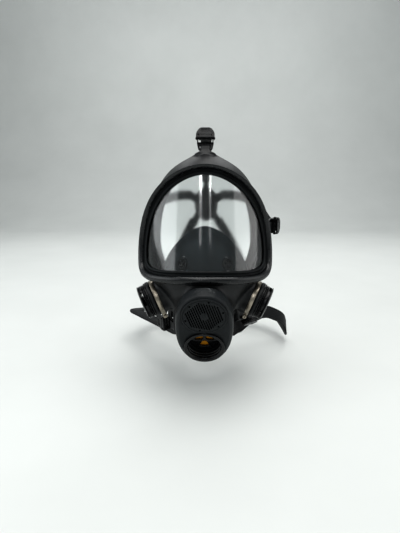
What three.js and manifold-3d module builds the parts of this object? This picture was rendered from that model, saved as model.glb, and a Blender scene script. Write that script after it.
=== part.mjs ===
// A full face respirator: rubber facepiece, panoramic visor, combined speech and inlet unit,
// two exhalation valves, inner mask and a five-strap head harness with a neck strap.
// Millimetres, +Z up, -Y is where the wearer looks, +X is the right of someone facing the mask.
// The origin is the middle of the face opening, where the wearer's nose bridge comes.
import * as THREE from "three";
import { mergeVertices } from "three/addons/utils/BufferGeometryUtils.js";
import Module from "manifold-3d";

const wasm = await Module();
wasm.setup();

// ---- driving dimensions ----
const GAP = 0.35; // clearance between pieces that touch
const AROUND = 40; // steps round the visor and the facepiece
const ROUND = 24; // sides of the larger round pieces
const SMALL_ROUND = 12; // sides of pins and rollers

const VISOR = { tilt: 12.6, y: 2, z: 2, radius: 82, thick: 2, half: 83, up: 85, down: 24, mid: -31 };
const VISOR_UP_POWER = 1.8;
const VISOR_DOWN_POWER = 3.8;
const RIM = { inner: 4.6, back: 79.2, front: 90, wide: 11.4, wider: 2.1 };
const SHELL = { thick: 3, half: 74, up: 102, down: 126, mid: -10, upPower: 2.2, downPower: 1.6 };
const SEAL_DEPTH = 38; // how far forehead and chin sit in front of the temples
const TEMPLE_Y = 6;
const PEAK = { high: 7, wide: 16 }; // the point of the facepiece under the top strap

const UNIT = { tilt: 25, y: -100, z: -101 }; // the speech and inlet unit, which faces forward and down
const SPEECH_Z = 26;
const INLET_Z = -23;
const EGG_POWER = 2.3;
const EGG_SIDES = 32;
const BODY_END = 16;
const NECK = { half: 27, top: 40, bottom: -43, end: 34 };

const PORT = { x: 59.1, y: -45, z: -75.4, axis: [0.904, -0.216, -0.368] }; // exhalation valve, right side
const BAND = { radius: 22, thick: 0.8, wide: 5 };

const STRAP = { wide: 15.4, thick: 2 };
const HEAD = { y: 58, z: -2, x: 77, deep: 97, high: 116 }; // the wearer's head, as an ellipsoid

// ---- finishes ----
const finish = (color, roughness, metalness = 0) =>
  new THREE.MeshStandardMaterial({ color, roughness, metalness });
const RUBBER = finish(0x17191b, 0.55);
const SOFT_RUBBER = finish(0x1d2224, 0.6);
const PLASTIC = finish(0x202427, 0.45);
const GLOSS = finish(0x0d0f11, 0.3);
const CLEAR = new THREE.MeshStandardMaterial({
  color: 0xdfe4e4, roughness: 0.05, transparent: true, opacity: 0.25,
});
const STEEL = finish(0xb9b3a4, 0.35, 1);
const BLACK_STEEL = finish(0x15161a, 0.4, 0.6);
const ORANGE = finish(0xd98a12, 0.5);

// ---- small helpers ----
const rad = THREE.MathUtils.degToRad;
const vec = (x, y, z) => new THREE.Vector3(x, y, z);
const power = (value, exponent) => Math.sign(value) * Math.abs(value) ** exponent;

// A closed body from sections of equal point count. With `closed` the last section meets the first.
function loft(sections, closed = false) {
  const count = sections[0].length;
  const points = sections.flat();
  const faces = [];
  const last = closed ? sections.length : sections.length - 1;
  for (let i = 0; i < last; i++) {
    const a = i * count;
    const b = ((i + 1) % sections.length) * count;
    for (let j = 0; j < count; j++) {
      const k = (j + 1) % count;
      faces.push([a + j, a + k, b + k], [a + j, b + k, b + j]);
    }
  }
  if (!closed) {
    for (const [start, turn] of [[0, 1], [(sections.length - 1) * count, -1]]) {
      const middle = points.length;
      const section = points.slice(start, start + count);
      points.push(section.reduce((sum, p) => sum.add(p), vec(0, 0, 0)).divideScalar(count));
      for (let j = 0; j < count; j++) {
        const face = [middle, start + ((j + 1) % count), start + j];
        faces.push(turn > 0 ? face : [face[0], face[2], face[1]]);
      }
    }
  }
  return facing(points, faces);
}

// The geometry of a closed body, its faces turned outwards.
function facing(points, faces) {
  let volume = 0;
  for (const [a, b, c] of faces) {
    volume += points[a].dot(points[b].clone().cross(points[c]));
  }
  const order = volume < 0 ? ([a, b, c]) => [a, c, b] : (face) => face;
  return new THREE.BufferGeometry()
    .setAttribute("position", new THREE.Float32BufferAttribute(points.flatMap((p) => p.toArray()), 3))
    .setIndex(faces.flatMap(order));
}

function solid(geometry) {
  const bare = geometry.clone();
  for (const name of ["normal", "uv"]) bare.deleteAttribute(name);
  const merged = mergeVertices(bare, 1e-3);
  return new wasm.Manifold(
    new wasm.Mesh({
      numProp: 3,
      vertProperties: merged.attributes.position.array,
      triVerts: new Uint32Array(merged.index.array),
    }),
  );
}

function geometryOf(made) {
  const mesh = made.getMesh();
  return new THREE.BufferGeometry()
    .setAttribute("position", new THREE.Float32BufferAttribute(mesh.vertProperties, 3))
    .setIndex(Array.from(mesh.triVerts));
}

const join = (...parts) => geometryOf(parts.map(solid).reduce((a, b) => a.add(b)));
const cut = (body, ...tools) => geometryOf(tools.map(solid).reduce((a, b) => a.subtract(b), solid(body)));

const box = (x0, x1, y0, y1, z0, z1) =>
  new THREE.BoxGeometry(x1 - x0, y1 - y0, z1 - z0).translate((x0 + x1) / 2, (y0 + y1) / 2, (z0 + z1) / 2);

// A turned body about local Z, from [radius, z] corners that close on themselves or on the axis.
function turned(corners, sides = ROUND) {
  const profile = corners.map(([r, z]) => new THREE.Vector2(r, z));
  if (corners.every(([r]) => r > 0)) profile.push(profile[0].clone());
  const made = new THREE.LatheGeometry(profile, sides).rotateX(Math.PI / 2);
  const clean = mergeVertices(stripped(made), 1e-3);
  return facing(pointsOf(clean), facesOf(clean));
}

const ring = (inner, outer, z0, z1, sides = ROUND) =>
  turned([[inner, z0], [outer, z0], [outer, z1], [inner, z1]], sides);
const disc = (radius, z0, z1, sides = ROUND) => turned([[0, z0], [radius, z0], [radius, z1], [0, z1]], sides);

function stripped(geometry) {
  for (const name of ["normal", "uv"]) geometry.deleteAttribute(name);
  return geometry;
}

function pointsOf(geometry) {
  const { position } = geometry.attributes;
  const pointAt = (_, i) => new THREE.Vector3().fromBufferAttribute(position, i);
  return Array.from({ length: position.count }, pointAt);
}

// Triangles as index triples, without those that an axis or a seam has folded flat.
function facesOf(geometry) {
  const index = geometry.index.array;
  const faces = [];
  for (let i = 0; i < index.length; i += 3) {
    const [a, b, c] = index.slice(i, i + 3);
    if (a !== b && b !== c && a !== c) faces.push([a, b, c]);
  }
  return faces;
}

// A flat outline given as [u, v] corners, drawn out along local Z from z0 to z1.
function plate(corners, z0, z1, holes = []) {
  const shape = new THREE.Shape(corners.map(([u, v]) => new THREE.Vector2(u, v)));
  for (const hole of holes) shape.holes.push(hole);
  const depth = z1 - z0;
  const settings = { depth, bevelEnabled: false, curveSegments: 6 };
  return new THREE.ExtrudeGeometry(shape, settings).translate(0, 0, z0);
}

const roundHole = (u, v, radius) => new THREE.Path().absarc(u, v, radius, 0, 2 * Math.PI, true);

const part = new THREE.Group();
function add(name, geometry, material, parent = part) {
  const mesh = new THREE.Mesh(geometry, material);
  mesh.name = name;
  parent.add(mesh);
  return mesh;
}

function frameAt(position, rotation) {
  const group = new THREE.Group();
  group.position.set(...position);
  if (rotation instanceof THREE.Quaternion) group.quaternion.copy(rotation);
  else group.rotation.set(...rotation);
  group.updateMatrix();
  return group;
}

// ---- visor: a piece of a cylinder that leans back ----
const visorFrame = frameAt([0, VISOR.y, VISOR.z], [rad(-VISOR.tilt), 0, 0]);

// The visor's edge, grown by `grow`, as arc length and height at angle `phi` (0 is +X, 90 degrees is up).
function visorEdge(phi, grow, share = 1) {
  const bend = 2 / (phi <= Math.PI ? VISOR_UP_POWER : VISOR_DOWN_POWER);
  const high = (phi <= Math.PI ? VISOR.up : VISOR.down) + grow;
  return [
    share * (VISOR.half + grow) * power(Math.cos(phi), bend),
    VISOR.mid + share * high * power(Math.sin(phi), bend),
  ];
}

// A point at arc length and height on the cylinder of that radius, in the visor's own frame.
function onVisor([along, height], radius) {
  const theta = along / VISOR.radius;
  return vec(radius * Math.sin(theta), -radius * Math.cos(theta), height);
}

const angles = (count) => Array.from({ length: count }, (_, i) => (2 * Math.PI * i) / count);
const rimWidth = (phi) => RIM.wide - RIM.wider * Math.sin(phi);

function visorLens() {
  const outer = VISOR.radius;
  const inner = VISOR.radius - VISOR.thick;
  const edges = [[2.6, 1], [-2.2, 1], [0, 0.78], [0, 0.55], [0, 0.3]];
  const rings = (radius) => edges.map(([grow, share]) =>
    angles(AROUND).map((phi) => onVisor(visorEdge(phi, grow, share), radius)));
  const points = [...rings(outer).reverse(), ...rings(inner)];
  return loft(points);
}

const alongVisor = (profile) =>
  loft(angles(AROUND).map((phi) => (
    profile(phi).map(([grow, radius]) => onVisor(visorEdge(phi, grow), radius))
  )), true);

const gasketProfile = () => [
  [-1.4, 83.2], [0.6, 84.6], [4.2, 84.6], [4.2, 77.6], [0.4, 77.6], [-1.4, 78.8],
  [-1.4, 79.6], [3, 79.6], [3, 82.4], [-1.4, 82.4],
];
const rimProfile = (phi) => {
  const wide = rimWidth(phi);
  return [
    [RIM.inner, RIM.back], [RIM.inner, 87.6], [6, 89.4], [8.4, RIM.front],
    [wide - 1.6, 88.6], [wide, 85], [wide, RIM.back],
  ];
};

part.add(visorFrame);
add("visor_lens", visorLens(), CLEAR, visorFrame);
add("visor_gasket", alongVisor(gasketProfile), SOFT_RUBBER, visorFrame);
add("visor_rim", alongVisor(rimProfile), RUBBER, visorFrame);

// ---- facepiece: a skirt from the visor rim to the face ----
function faceEdge(phi) {
  const upper = phi <= Math.PI;
  const bend = 2 / (upper ? SHELL.upPower : SHELL.downPower);
  const x = SHELL.half * power(Math.cos(phi), bend);
  const z = SHELL.mid + (upper ? SHELL.up : SHELL.down) * power(Math.sin(phi), bend);
  const peak = upper ? PEAK.high * Math.exp(-((x / PEAK.wide) ** 2)) : 0;
  return vec(x, TEMPLE_Y - SEAL_DEPTH * Math.sin(phi) ** 2, z + peak);
}

// How far the skirt leaves the straight line from rim to face: in at the jaw, out at the chin.
function bulge(phi) {
  const low = Math.max(0, -Math.sin(phi));
  const jaw = low > 0 ? Math.sin(2 * phi) ** 2 : 0;
  return vec(-12 * Math.sign(Math.cos(phi)) * jaw, -4 - 8 * low ** 2, -6 * low ** 6);
}

function skirtLine(phi, steps) {
  const start = onVisor(visorEdge(phi, rimWidth(phi)), RIM.back - GAP).applyMatrix4(visorFrame.matrix);
  const end = faceEdge(phi);
  const curve = new THREE.CubicBezierCurve3(
    start,
    start.clone().lerp(end, 0.33).add(bulge(phi)),
    start.clone().lerp(end, 0.67).add(bulge(phi)),
    end,
  );
  const flange = onVisor(visorEdge(phi, RIM.inner), RIM.back - GAP).applyMatrix4(visorFrame.matrix);
  return [flange, ...curve.getPoints(steps)];
}

function gridNormal(grid, i, j) {
  const around = grid.length;
  const across = grid[0].length;
  const u = grid[(i + 1) % around][j].clone().sub(grid[(i + around - 1) % around][j]);
  const v = grid[i][Math.min(j + 1, across - 1)].clone().sub(grid[i][Math.max(j - 1, 0)]);
  return u.cross(v).normalize();
}

// A skin of even thickness behind a closed grid of points, grid[i][j], where i runs round.
function skin(grid, thick, offset = 0) {
  const side = (i, distance) => grid[i].map((p, j) => (
    p.clone().addScaledVector(gridNormal(grid, i, j), distance)
  ));
  return loft(grid.map((_, i) => [...side(i, offset), ...side(i, offset - thick).reverse()]), true);
}

const skirtGrid = angles(AROUND).map((phi) => skirtLine(phi, 6));

// ---- speech and inlet unit, in its own frame: y goes back into the mask, z up the unit's face ----
const unit = frameAt([0, UNIT.y, UNIT.z], [rad(UNIT.tilt), 0, 0]);

function egg(half, top, bottom, y, count = EGG_SIDES) {
  const middle = 2;
  const bend = 2 / EGG_POWER;
  return angles(count).map((phi) => {
    const reach = Math.sin(phi) > 0 ? top - middle : middle - bottom;
    return vec(half * power(Math.cos(phi), bend), y, middle + reach * power(Math.sin(phi), bend));
  });
}

// Turned pieces stand on local Z; this lays them along the unit's y, at height z.
const inUnit = (geometry, z) => geometry.rotateX(-Math.PI / 2).translate(0, 0, z);
const bore = (radius, y0, y1, z) => inUnit(disc(radius, y0, y1), z);

const housing = cut(
  loft([
    egg(29.2, 52.6, -47.2, 0), egg(31.4, 53.6, -48.6, 2.4),
    egg(33, 53.8, -49, 10), egg(33, 53.6, -48.6, BODY_END),
    egg(NECK.half, NECK.top, NECK.bottom, BODY_END + 0.4), egg(NECK.half, NECK.top, NECK.bottom, NECK.end),
  ]),
  bore(25.6, -5, 3, SPEECH_Z),
  bore(23.3, -5, 9, SPEECH_Z),
  bore(19.4, -5, 50, SPEECH_Z),
  bore(22.3, -5, 15.3, INLET_Z),
  bore(16.8, -5, 50, INLET_Z),
);

// The grille's slots stand in columns across a hexagon, round a plain hexagon in the middle.
const GRILLE = {
  turn: 17, hexagon: 21, core: 4.6, pitch: 2.5, slot: 1.3, hole: 1.1, holes: 21, radius: 25.2,
};
function hexagonHalf(offset, size) {
  const flat = (size * Math.sqrt(3)) / 2;
  return Math.abs(offset) > flat ? 0 : size - Math.abs(offset) / Math.sqrt(3);
}
function grilleSlots() {
  const slots = [];
  const columns = Math.floor((GRILLE.hexagon * 0.85) / GRILLE.pitch);
  for (let i = -columns; i <= columns; i++) {
    const at = i * GRILLE.pitch;
    const end = hexagonHalf(at, GRILLE.hexagon);
    const start = hexagonHalf(at, GRILLE.core);
    const spans = start > 0 ? [[-end, -start - 1], [start + 1, end]] : [[-end, end]];
    for (const [a, b] of spans) slots.push(box(at - GRILLE.slot / 2, at + GRILLE.slot / 2, a, b, -5, 5));
  }
  for (const phi of angles(6)) {
    const x = GRILLE.holes * Math.sin(phi + Math.PI / 6);
    const y = GRILLE.holes * Math.cos(phi + Math.PI / 6);
    slots.push(disc(GRILLE.hole, -5, 5, 8).translate(x, y, 0));
  }
  return slots;
}
// The unit's y points away from the viewer of the face, so a turn to the left is negative here.
const grille = cut(disc(GRILLE.radius, -0.5, 2.6), ...grilleSlots()).rotateZ(-rad(GRILLE.turn));

const THREAD = { inner: 18.5, crest: 20.2, pitch: 3.63 };
function threadRing() {
  const corners = [
    [THREAD.inner + 2, -1.4], [23.4, -1.4], [23.4, -0.35], [21.9, -0.35], [21.9, 10.6], [THREAD.inner, 10.6],
  ];
  for (let turn = 1; turn >= 0; turn--) {
    const y = 1.4 + turn * THREAD.pitch;
    corners.push([THREAD.inner, y + 2.7], [THREAD.crest, y + 1.9]);
    corners.push([THREAD.crest, y + 0.9], [THREAD.inner, y + 0.1]);
  }
  return turned(corners);
}

// A wheel whose spokes are what its windows leave, with a barbed stem for the valve disc. The windows lie
// round the wheel from `hub` to `reach`; each half-angle is at that radius.
function spider({ rim, hub, reach, count, hubHalf, reachHalf, stem }, z0, z1) {
  const corners = [[hub, -hubHalf], [reach, -reachHalf], [reach, 0], [reach, reachHalf], [hub, hubHalf]];
  const wedge = corners.map(([radius, turn]) => [radius * Math.cos(turn), radius * Math.sin(turn)]);
  const windows = angles(count).map((phi) => plate(wedge, z0 - 1, z1 + 1).rotateZ(phi));
  const barb = z1 + stem;
  const knob = turned([
    [0, z1 - 0.5], [1.6, z1 - 0.5], [1.6, barb], [2.8, barb], [1.4, barb + 1.6], [0, barb + 1.6],
  ], SMALL_ROUND);
  return join(cut(disc(rim, z0, z1), ...windows), knob);
}

const INLET_SPIDER = { rim: 21.6, hub: 2.8, reach: 11.8, count: 3, hubHalf: 0.7, reachHalf: 0.6, stem: 4.3 };
const EXHALE_SPIDER = { rim: 14.6, hub: 4, reach: 12.2, count: 6, hubHalf: 0.2, reachHalf: 0.39, stem: 3.6 };
const inletSpider = inUnit(spider(INLET_SPIDER, 12.75, 14.95).rotateZ(Math.PI / 2), INLET_Z);

part.add(unit);
add("unit_housing", housing, PLASTIC, unit);
add("speech_grille", inUnit(grille, SPEECH_Z), PLASTIC, unit);
add("speech_diaphragm", inUnit(disc(23, 6, 6.6), SPEECH_Z), finish(0x8f8f86, 0.3), unit);
add("diaphragm_ring", inUnit(ring(20.6, 23, 3.3, 5.6), SPEECH_Z), SOFT_RUBBER, unit);
add("inlet_thread_ring", inUnit(threadRing(), INLET_Z), GLOSS, unit);
add("inlet_gasket", inUnit(ring(17, 21.9, 10.95, 12.4), INLET_Z), SOFT_RUBBER, unit);
add("inlet_valve_seat", inletSpider, GLOSS, unit);
add("inlet_valve_disc", inUnit(ring(2, 16.2, 15.3, 16.3), INLET_Z), ORANGE, unit);

const COLLAR = { start: 17.2, end: 46, thick: 3.2 };
const neckEgg = (grow, y) => egg(NECK.half + grow, NECK.top + grow, NECK.bottom - grow, y);
const neckTube = (grow, y0, y1) => loft([neckEgg(grow, y0), neckEgg(grow, y1)]);
const collarOuter = neckTube(COLLAR.thick, COLLAR.start, COLLAR.end).applyMatrix4(unit.matrix);
const collarBore = neckTube(GAP, COLLAR.start - 2, COLLAR.end + 2).applyMatrix4(unit.matrix);

add(
  "unit_clamp_band",
  cut(neckTube(COLLAR.thick + GAP + 1.1, 18.6, 24.6), neckTube(COLLAR.thick + GAP, 17, 26)),
  BLACK_STEEL,
  unit,
);

// ---- exhalation valves, each in a frame whose z is the port's axis, out of the mask ----
function portFrame(side) {
  const axis = vec(side * PORT.axis[0], PORT.axis[1], PORT.axis[2]).normalize();
  const down = vec(0, 0, -1).addScaledVector(axis, axis.z).normalize(); // local x: the port's underside
  const across = axis.clone().cross(down);
  const basis = new THREE.Matrix4().makeBasis(down, across, axis);
  const turn = new THREE.Quaternion().setFromRotationMatrix(basis);
  return frameAt([side * PORT.x, PORT.y, PORT.z], turn);
}

const socketOuter = () => turned([[0, -15], [20.9, -15], [20.9, 3.2], [22.1, 3.6], [22.1, 7.6], [0, 7.6]]);
const socketBore = () => disc(17.6, -30, 20);

const valveBody = () => turned([
  [15, -9], [17.2, -9], [17.2, 8], [21.6, 8], [21.6, 9.6], [19.4, 10],
  [20.8, 10.6], [20.8, 11.4], [19.4, 11.8],
  [20.8, 12.4], [20.8, 13], [15, 13], [15, 5], [13.4, 5], [13.4, 3], [15, 3],
]);

// The cover's spigot snaps into the body; its windows let the breath out at the side.
function valveCover(turn) {
  const cap = turned([
    [0, 16.6], [13.7, 16.6], [13.7, 10.8], [14.6, 10.8], [14.6, 13.4], [20.6, 13.4],
    [20.8, 17], [19.4, 18.6], [17, 19.2],
    [0, 19.2],
  ]);
  const windows = angles(3).map((phi) => (
    plate([[10, -9], [30, -9], [30, 9], [10, 9]], 13.41, 16.2).rotateZ(phi + turn)
  ));
  const lug = box(20, 23.6, -2.6, 2.6, 16.9, 18.3).rotateZ(turn + Math.PI / 3);
  const spigot = ring(13.7, 14.6, 10.7, 17);
  return join(cut(cap, ...windows), lug, spigot);
}

const EAR = { start: 21.4, end: 28.5, thick: 1.2, gap: 2.4 };
function clampBand() {
  const half = BAND.wide / 2;
  const inner = BAND.radius - BAND.thick;
  const outerEar = EAR.gap + EAR.thick;
  const ears = [[-outerEar, -EAR.gap], [EAR.gap, outerEar]].map(([low, high]) => (
    box(EAR.start, EAR.end, low, high, -half, half)
  ));
  const hole = disc(1.7, -10, 10, SMALL_ROUND).rotateX(Math.PI / 2).translate(25.6, 0, 0);
  const band = ring(inner, BAND.radius, -half, half);
  return cut(join(band, ...ears), box(15, 23, -EAR.gap, EAR.gap, -9, 9), hole);
}
function clampScrew() {
  const shank = disc(1.35, -5.4, 4.6, SMALL_ROUND);
  const head = cut(disc(2.6, 4, 6.4, SMALL_ROUND), box(-3, 3, -0.4, 0.4, 5.4, 8));
  return join(shank, head).rotateX(Math.PI / 2).translate(25.6, 0, 0);
}

const ports = {};
for (const [name, side, turn] of [["right", 1, rad(60)], ["left", -1, rad(0)]]) {
  const frame = portFrame(side);
  ports[name] = frame;
  part.add(frame);
  add(`exhale_body_${name}`, valveBody(), GLOSS, frame);
  add(`exhale_seat_${name}`, spider(EXHALE_SPIDER, 5.4, 7), PLASTIC, frame);
  add(`exhale_disc_${name}`, ring(2, 13, 7.4, 8.3), SOFT_RUBBER, frame);
  add(`exhale_cover_${name}`, valveCover(turn), GLOSS, frame);
  add(`exhale_clamp_${name}`, clampBand(), STEEL, frame);
  add(`exhale_clamp_screw_${name}`, clampScrew(), STEEL, frame);
}

// ---- buckles: x along the pin, y towards the strap, z away from the head ----
const PIN = { y: 0, z: 4.5, radius: 1.2, half: 11.4 };
const ROLLER = { y: 6, radius: 2.6, half: 8 };
const SLOT = { half: 6.5, start: -10.2, end: -7 };
const BASE = { end: -12.8, half: 7.9, shoulder: 9.8 };
const CHEEK = { inner: 8.3, outer: 9.4 };
const LEVER = { inner: 9.7, outer: 10.7, end: 11.6, low: 7, high: 8.6 };

function buckleBase() {
  const slot = [
    [-SLOT.half, SLOT.start], [-SLOT.half, SLOT.end], [SLOT.half, SLOT.end], [SLOT.half, SLOT.start],
  ];
  const front = plate([
    [-BASE.half, BASE.end], [BASE.half, BASE.end], [BASE.shoulder, -4],
    [CHEEK.outer, -3], [-CHEEK.outer, -3], [-BASE.shoulder, -4],
  ], -1, 1, [new THREE.Path(slot.map(([u, v]) => new THREE.Vector2(u, v)))]);
  const outline = [
    [-5, -1], [-3, -2.4], [8, -2.4], [9.6, -1], [9.6, 1.5],
    [8, 2.8], [3, 4], [1.1, 6.2], [-1.1, 6.2], [-5, 1],
  ];
  const cheek = () => plate(outline, 0, CHEEK.outer - CHEEK.inner, [
    roundHole(PIN.y, PIN.z, PIN.radius + GAP), roundHole(ROLLER.y, 0, PIN.radius + GAP),
  ]).rotateZ(Math.PI / 2).rotateY(Math.PI / 2);
  // The turns above lay the outline's first coordinate along y and its second along z.
  return join(front, cheek().translate(CHEEK.inner, 0, 0), cheek().translate(-CHEEK.outer, 0, 0));
}

function buckleLever() {
  const half = LEVER.outer;
  const side = [[half, -1.5], [half, 3.4], [half - 0.9, 6.6], [half - 2.8, 9.4], [half - 5.4, LEVER.end]];
  const top = [...side, ...side.map(([u, v]) => [-u, v]).reverse()]; // a D whose round side lifts
  const windows = [-1, 1].map((s) => box(s > 0 ? 7 : -8.8, s > 0 ? 8.8 : -7, 0.8, 3, 0, 20));
  const thumb = cut(plate(top, LEVER.low, LEVER.high), ...windows);
  const flank = [[-1.9, 3.4], [-1, 2.6], [4.4, 3.7], [5.4, LEVER.low + 0.2], [-1.9, LEVER.low + 0.2]];
  const arm = () => plate(flank, 0, LEVER.outer - LEVER.inner, [roundHole(PIN.y, PIN.z, PIN.radius + GAP)])
    .rotateZ(Math.PI / 2).rotateY(Math.PI / 2);
  return join(thumb, arm().translate(LEVER.inner, 0, 0), arm().translate(-LEVER.outer, 0, 0));
}

const bar = (radius, half, sides = SMALL_ROUND) => disc(radius, -half, half, sides).rotateY(Math.PI / 2);
const bucklePin = () => bar(PIN.radius, PIN.half).translate(0, PIN.y, PIN.z);
const buckleRoller = () => (
  join(bar(ROLLER.radius, ROLLER.half), bar(PIN.radius, CHEEK.outer)).translate(0, ROLLER.y, 0)
);

// The facepiece's lug is a closed loop of rubber round the buckle's front bar.
const LUG = { half: 5.9, low: -3.2, high: 2.8, start: -17, clear: -13.2 };
const lugBlock = () => cut(
  box(-LUG.half, LUG.half, LUG.start, SLOT.end - 0.4, LUG.low, LUG.high),
  box(-20, 20, LUG.clear, SLOT.start + 0.3, -1.4, 1.4),
);

function buckleFrame(position, along, outward) {
  const y = vec(...along).normalize();
  const x = y.clone().cross(vec(...outward)).normalize();
  const z = x.clone().cross(y);
  const basis = new THREE.Matrix4().makeBasis(x, y, z);
  return frameAt(position, new THREE.Quaternion().setFromRotationMatrix(basis));
}

const BUCKLES = {
  top: buckleFrame([0, -30, 110.5], [0, 0.42, 0.91], [0, -0.91, 0.42]),
  temple_right: buckleFrame([86.5, 8, 7.5], [0.44, 0.9, 0.02], [0.9, -0.44, 0]),
  temple_left: buckleFrame([-77.6, 25, 6.5], [0.09, 1, 0.02], [-1, 0.09, 0]),
  lower_right: buckleFrame([55, -14, -112], [0.86, 0.5, -0.08], [0.02, -0.6, -0.8]),
  lower_left: buckleFrame([-49.5, -15, -118], [-0.72, 0.68, 0.12], [-0.66, -0.72, -0.2]),
};
for (const [name, frame] of Object.entries(BUCKLES)) {
  part.add(frame);
  add(`buckle_base_${name}`, buckleBase(), BLACK_STEEL, frame);
  add(`buckle_lever_${name}`, buckleLever(), BLACK_STEEL, frame);
  add(`buckle_roller_${name}`, buckleRoller(), STEEL, frame);
  add(`buckle_pin_${name}`, bucklePin(), BLACK_STEEL, frame);
}

// ---- the facepiece shell, with its collar, valve sockets and harness lugs ----
const placed = (geometry, frame) => geometry.clone().applyMatrix4(frame.matrix);

// The space inside the skirt, which trims what is joined to the skirt's outside.
function insideOf(grid, depth) {
  const across = grid[0].length;
  const columns = Array.from({ length: across }, (_, j) =>
    grid.map((line, i) => line[j].clone().addScaledVector(gridNormal(grid, i, j), depth)));
  return loft(columns);
}

// The middle of the skirt's wall at the corner of its grid nearest to a point.
function onSkirt(at) {
  const target = vec(...at);
  let best = null;
  for (let i = 0; i < skirtGrid.length; i++) {
    for (let j = 2; j < skirtGrid[i].length; j++) {
      const p = skirtGrid[i][j].clone().addScaledVector(gridNormal(skirtGrid, i, j), SHELL.thick / 2);
      if (!best || p.distanceTo(target) < best.distanceTo(target)) best = p;
    }
  }
  return best;
}

// A rubber tab from the skirt to a buckle's lug: the hull of the lug's end and a patch on the skirt.
function lugTab(frame, patch) {
  const corners = (half, low, high) => [[-half, low], [half, low], [-half, high], [half, high]];
  const near = corners(LUG.half, LUG.low, LUG.high).flatMap(([x, z]) =>
    [LUG.start - 0.5, LUG.start + 2].map((y) => vec(x, y, z).applyMatrix4(frame.matrix)));
  const axes = [vec(1, 0, 0), vec(0, 0, 1)].map((axis) => axis.transformDirection(frame.matrix));
  const centre = onSkirt(patch.at);
  const far = corners(patch.half, -patch.high, patch.high).map(([x, z]) =>
    centre.clone().addScaledVector(axes[0], x).addScaledVector(axes[1], z));
  const web = (patch.web ?? []).flatMap(([x, y]) => (
    [-WEB_HALF, WEB_HALF].map((z) => vec(x, y, z).applyMatrix4(frame.matrix))
  ));
  const hull = (points) => geometryOf(wasm.Manifold.hull(points.map((p) => p.toArray())));
  return web.length ? join(hull([...near, ...far]), hull([...web, ...far])) : hull([...near, ...far]);
}

// Half the thickness of the web beside a lower buckle. A web's corners are in its buckle's own x and y.
const WEB_HALF = 1.3;
const PATCHES = {
  top: { at: [0, -38, 92], half: 12, high: 1.5 },
  temple_right: { at: [77, -20, 4], half: 9, high: 1.5 },
  temple_left: { at: [-75.5, -1, 5], half: 9, high: 1.5 },
  lower_right: { at: [38, -34, -100], half: 9, high: 1, web: [[-10.4, -9], [-12.5, -4], [-18, -8]] },
  lower_left: { at: [-40, -34, -99], half: 11, high: 1, web: [[9.2, -13.8], [9.2, -9], [12, -3], [22, -4]] },
};

function facepieceShell() {
  const skirt = skin(skirtGrid, SHELL.thick, SHELL.thick);
  const inside = insideOf(skirtGrid, SHELL.thick / 2);
  const sockets = Object.values(ports).map((frame) => placed(socketOuter(), frame));
  const tabs = Object.entries(BUCKLES).map(([name, frame]) => lugTab(frame, PATCHES[name]));
  const outside = cut(join(collarOuter, ...sockets, ...tabs), inside);
  const lugs = Object.values(BUCKLES).map((frame) => placed(lugBlock(), frame));
  const bores = Object.values(ports).map((frame) => placed(socketBore(), frame));
  return cut(join(skirt, outside, ...lugs), collarBore, ...bores);
}
add("facepiece_shell", facepieceShell(), RUBBER);

// ---- face seal: a lip that turns in from the edge of the facepiece and lies on the face ----
const SEAL = { thick: 2, inset: 1.4, over: 1.8, reach: 7, back: 9 };
function sealLine(line, i) {
  const last = line.length - 1;
  const inward = gridNormal(skirtGrid, i, last);
  const along = line[last].clone().sub(line[last - 1]).normalize();
  const side = Math.abs(line[last].x) / SHELL.half;
  const step = (from, into, forward) => (
    from.clone().addScaledVector(inward, into).addScaledVector(along, forward)
  );
  const edge = step(line[last], SEAL.inset, 2 * GAP + 0.3);
  const corner = step(edge, SHELL.thick + SEAL.over, 0.6);
  return [edge, step(edge, SHELL.thick, 0), corner, step(corner, SEAL.reach, -SEAL.back * side)];
}
add("face_seal", skin(skirtGrid.map(sealLine), SEAL.thick, 0), SOFT_RUBBER);

// ---- inner mask: a cup over nose and mouth, with a valve at each side ----
const INNER = { half: 53, top: 57, bottom: 50, mid: -46, thick: 2 };
function innerLine(phi) {
  const up = Math.max(0, Math.sin(phi));
  const x = Math.cos(phi);
  const z = Math.sin(phi);
  const back = vec(
    INNER.half * power(x, 1.15) * (1 - 0.2 * up),
    -38 + 16 * x * x - 5 * up,
    INNER.mid + (z > 0 ? INNER.top : INNER.bottom) * power(z, 1.1),
  );
  const middle = vec(back.x * 0.86, back.y - 15 + 4 * up, INNER.mid + (back.z - INNER.mid) * 0.86 - 4);
  const front = vec(21 * x, 44.5, 1 + 23 * z).applyMatrix4(unit.matrix);
  const nearFront = middle.clone().lerp(front, 0.55).add(vec(0, -3, 2));
  const curve = new THREE.CatmullRomCurve3([back, middle, nearFront, front]);
  return curve.getPoints(4);
}
const innerGrid = angles(28).map(innerLine);
const VALVE = { inner: 5.2, outer: 8.2, hole: 8.6, phi: 3 };
function innerValveFrame(side) {
  const i = side > 0 ? VALVE.phi : 14 - VALVE.phi;
  const normal = gridNormal(innerGrid, i, 2).negate();
  const outward = normal.x * side < 0 ? normal.negate() : normal;
  return frameAt(innerGrid[i][2].toArray(), new THREE.Quaternion().setFromUnitVectors(vec(0, 0, 1), outward));
}
const innerValves = { right: innerValveFrame(1), left: innerValveFrame(-1) };
add(
  "inner_mask",
  cut(
    skin(innerGrid, INNER.thick, INNER.thick / 2),
    ...Object.values(innerValves).map((frame) => placed(disc(VALVE.hole, -5, 5, 16), frame)),
  ),
  SOFT_RUBBER,
);
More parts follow.
